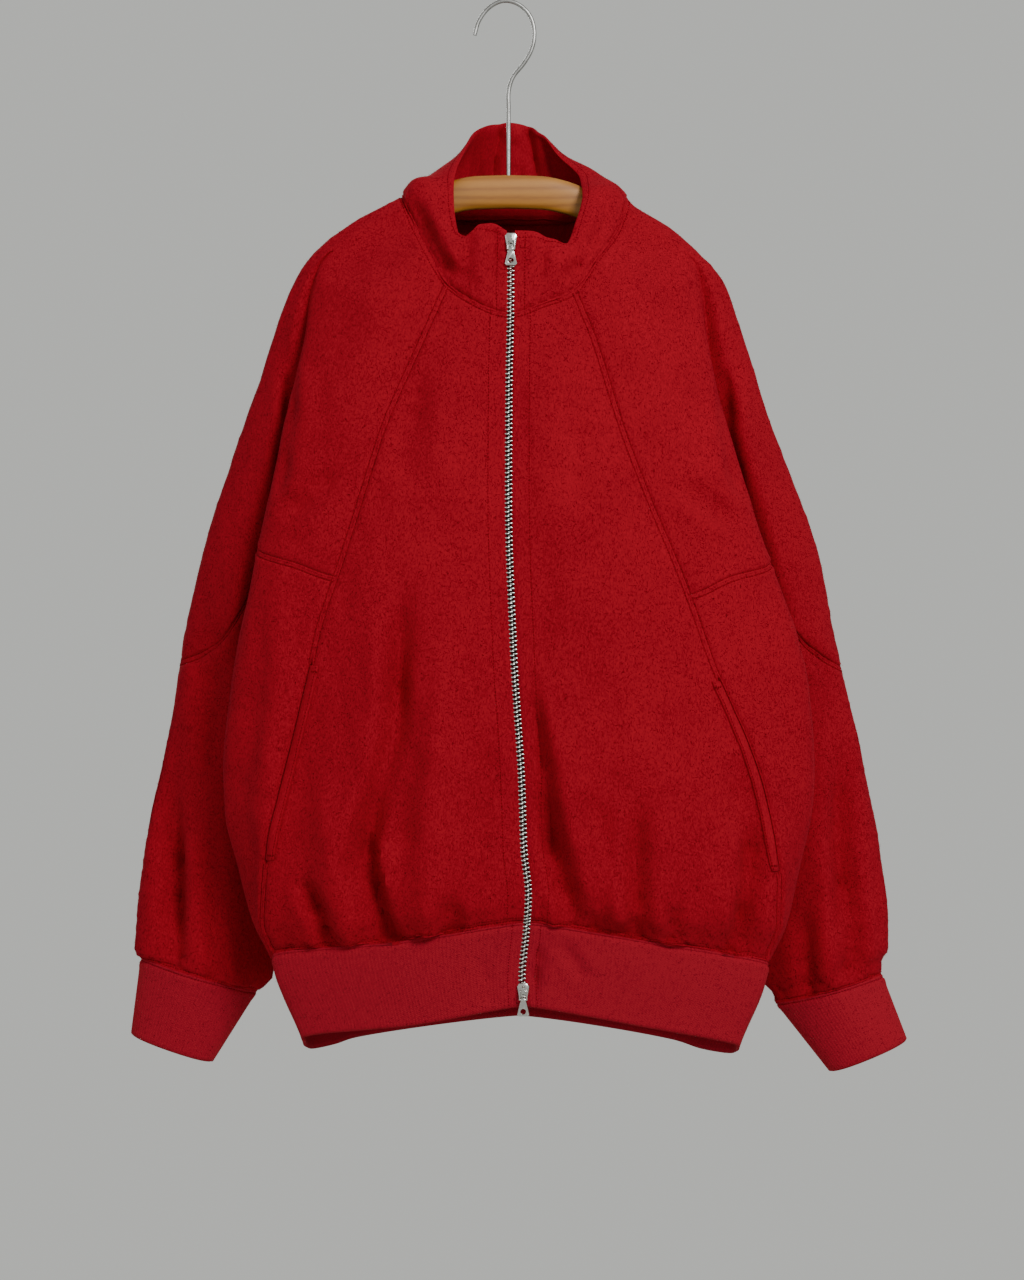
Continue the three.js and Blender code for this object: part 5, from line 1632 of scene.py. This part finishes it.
@dataclass
class PocketWelts:
    """The welts of the two side pockets, with their bar tacks."""

    cloth: Cloth
    fleece: bpy.types.Material
    width: float = 10.0
    rise: float = 1.9
    rows: tuple[float, float] = (2.65, 9.0)

    def outline(self, side: Side) -> tuple[Array, Array]:
        """Points and normals of the strip beside the seam that a welt covers."""
        points, normals = self.cloth.patch(f"front_{side.value}")
        height = self.cloth.form.rows - YOKE_ROWS
        keep = (height >= self.rows[0] - 0.03) & (height <= self.rows[1] + 0.03)
        points, normals = points[keep][:, ::-1], normals[keep][:, ::-1]
        along = lengths_along(points, 1)
        spots = np.array([0.3, 1.2, 2.6, 4.5, 6.5, 8.3, 9.4, self.width])
        strip, facing = (
            np.array([at_lengths(spots, length, row) for row, length in zip(grid, along)])
            for grid in (points, normals)
        )
        return strip, unit(facing)

    def build(self, side: Side) -> bpy.types.Object:
        """Lay one welt on the front."""
        strip, facing = self.outline(side)
        dome = np.array([0.8, 1.0, 1.0, 0.9, 0.85, 0.9, 0.95, 0.7])[None, :, None]
        outer = strip + facing * self.rise * dome
        inner = strip + facing * 0.1
        wall = Wall(f"welt_{side.value}", outer, inner, side is Side.LEFT, rounded=(True,) * 4)
        made = wall.build(self.fleece)
        select_only(made)
        bpy.ops.object.shade_smooth_by_angle(angle=WELT_ANGLE)
        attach(made, GARMENT)
        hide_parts(f"pocket_welt_{side.value}")
        return made

    def stitches(self, side: Side, stitching: Stitching) -> None:
        """Sew the long row of a welt and the dense tacks across its ends."""
        strip, facing = self.outline(side)
        raised = strip + facing * self.rise * 0.95
        stitching.sew(Line(raised[:, 5], facing[:, 5]))
        for row in (1, -2):
            for shift in (0.0, 0.45, 0.9):
                centre = raised[row] + np.array([0.0, 0.0, -shift])
                stitching.sew(Line(centre, facing[row]))


@dataclass
class Studio:
    """Camera, soft lights, pale surroundings and floor."""

    eye: tuple[float, float, float] = (0.0072, -2.4, -0.5733)

    def build(self) -> None:
        """Set the camera, the lights, the floor and the world."""
        camera = bpy.data.cameras.new("camera")
        camera.sensor_fit = "VERTICAL"
        camera.sensor_height = 36
        camera.lens = 75
        camera.dof.use_dof = False
        holder = bpy.data.objects.new("camera", camera)
        holder.location = self.eye
        holder.rotation_euler = (math.pi / 2, 0, 0)
        bpy.context.scene.collection.objects.link(holder)
        bpy.context.scene.camera = holder
        self._lamp("key_softbox", (1.15, -2.2, 0.9), 0.9, 71.0)
        self._lamp("fill_softbox", (-2.0, -2.2, 0.2), 2.0, 13.0)
        self._lamp("back_softbox", (-0.9, 2.4, 0.7), 1.4, 40.0)
        world = bpy.data.worlds.new("pale_room")
        world.use_nodes = True
        world.node_tree.nodes["Background"].inputs["Color"].default_value = srgb("#d6d7d3")
        world.node_tree.nodes["Background"].inputs["Strength"].default_value = 0.8
        bpy.context.scene.world = world
        bpy.ops.object.select_all(action="DESELECT")
        bpy.ops.mesh.primitive_plane_add(size=5.6, location=(0, 0, -1.9))
        floor = bpy.context.active_object
        floor.name = "studio_floor"
        floor.data.materials.append(PlainPaint().make())

    def _lamp(self, name: str, place: tuple[float, float, float], size: float, power: float) -> None:
        """A square soft light aimed at the chest."""
        light = bpy.data.lights.new(name, "AREA")
        light.shape, light.size, light.energy = "SQUARE", size, power
        lamp = bpy.data.objects.new(name, light)
        way = np.array([0.0, 0.0, -0.5]) - np.array(place)
        lamp.location = place
        lamp.rotation_euler = (
            math.pi / 2 - math.atan2(-way[2], math.hypot(way[0], way[1])), 0.0,
            math.atan2(way[1], way[0]) - math.pi / 2,
        )
        bpy.context.scene.collection.objects.link(lamp)


def seam_rows(*edges: Edge) -> list[tuple[Edge, float, float]]:
    """The usual row of stitches beside each of the given edges."""
    return [(edge, SEAM_ROW, 0) for edge in edges]


def sew_all(cloth: Cloth, stitching: Stitching, welts: PocketWelts) -> dict[str, bpy.types.Object]:
    """Sew the topstitching panel by panel and return each panel's rows as one object."""
    rows: dict[str, list[tuple[Edge, float, float]]] = {
        "front": [
            (Edge.TOP, SEAM_ROW, 0), (Edge.LAST, SEAM_ROW, 0), (Edge.BOTTOM, SEAM_ROW, 0),
            (Edge.BOTTOM, HEM_ROW, 0), (Edge.FIRST, FACING_ROW, 0),
        ],
        "sleeve_upper_front": seam_rows(Edge.TOP, Edge.FIRST, Edge.BOTTOM, Edge.LAST),
        "sleeve_upper_back": seam_rows(Edge.TOP, Edge.LAST, Edge.BOTTOM, Edge.FIRST),
        "side_panel": seam_rows(Edge.TOP, Edge.FIRST, Edge.LAST, Edge.BOTTOM),
        "sleeve_lower_front": seam_rows(Edge.TOP, Edge.LAST, Edge.BOTTOM),
        "sleeve_lower_back": seam_rows(Edge.TOP, Edge.FIRST, Edge.BOTTOM),
        "back": [
            (Edge.TOP, SEAM_ROW, 0), (Edge.TOP, 3.4, CLOTH), (Edge.FIRST, SEAM_ROW, 0),
            (Edge.LAST, SEAM_ROW, 0), (Edge.BOTTOM, SEAM_ROW, 0), (Edge.BOTTOM, HEM_ROW, 0),
        ],
        "collar": [(Edge.TOP, 5.0, 0), (Edge.FIRST, BAND_ROW, 0), (Edge.LAST, BAND_ROW, 0)],
        "hem_rib": [(Edge.FIRST, BAND_ROW, 0), (Edge.LAST, BAND_ROW, 0)],
        "cuff": seam_rows(Edge.TOP),
    }
    made = {}
    for name in cloth.index:
        kind = panel_kind(name)
        for edge, offset, inside in rows[kind]:
            stitching.sew(beside(cloth, name, edge, offset, inside))
        if kind == "front":
            welts.stitches(Side.LEFT if name.endswith("left") else Side.RIGHT, stitching)
        made[name] = stitching.build(f"topstitching_{name}")
    return made


def main() -> None:
    """Build the garment, its zip and its hanger, then the studio."""
    cloth = Cloth(JacketForm())
    LOG.info("cloth: %d welded points", len(cloth.points))
    fleece, knit = Fleece().make(), RibKnit().make()
    fibre = FleeceHair().make()
    # The thread's darker reds are painted shade where the stitches sink into the nap, not the thread's own
    # colour
    thread = Fleece("#780812", "#680610", "#57050c").make("sewing_thread_painted_shade")
    metal = PlatedMetal("bright_nickel_plate", "#c3c2bd", 0.2).make()
    panels = Panels(cloth, fleece, knit)
    panels.build()
    welts = PocketWelts(cloth, fleece)
    stitched = sew_all(cloth, Stitching(cloth, thread), welts)
    nap = Nap(cloth, fibre)
    for name, piece in panels.made.items():
        kind = panel_kind(name)
        hairs = nap.grow(name, RIB_NAP if kind in RIBBED else None)
    for side in Side:
        welt = welts.build(side)
        LOG.info("welt %s", side.value)
    chain = ZipChain(cloth, metal, ZipTape().make())
    for side in Side:
        tape = chain.build_tape(side)
        chain.build_teeth(side)
    chain.build_sliders()
    LOG.info("zip: tapes, teeth and sliders")
    hanger = Hanger(VarnishedBeech().make(), BrushedWire().make())
    hanger.build_bar()
    hanger.build_hook()
    LOG.info("hanger: bar and hook")
    Studio().build()
    shown = [o for o in bpy.context.scene.objects if o.type == "MESH" and not o.hide_render]
    LOG.info("faces in all: %d", sum(len(o.data.polygons) for o in shown))


if __name__ == "__main__":
    main()
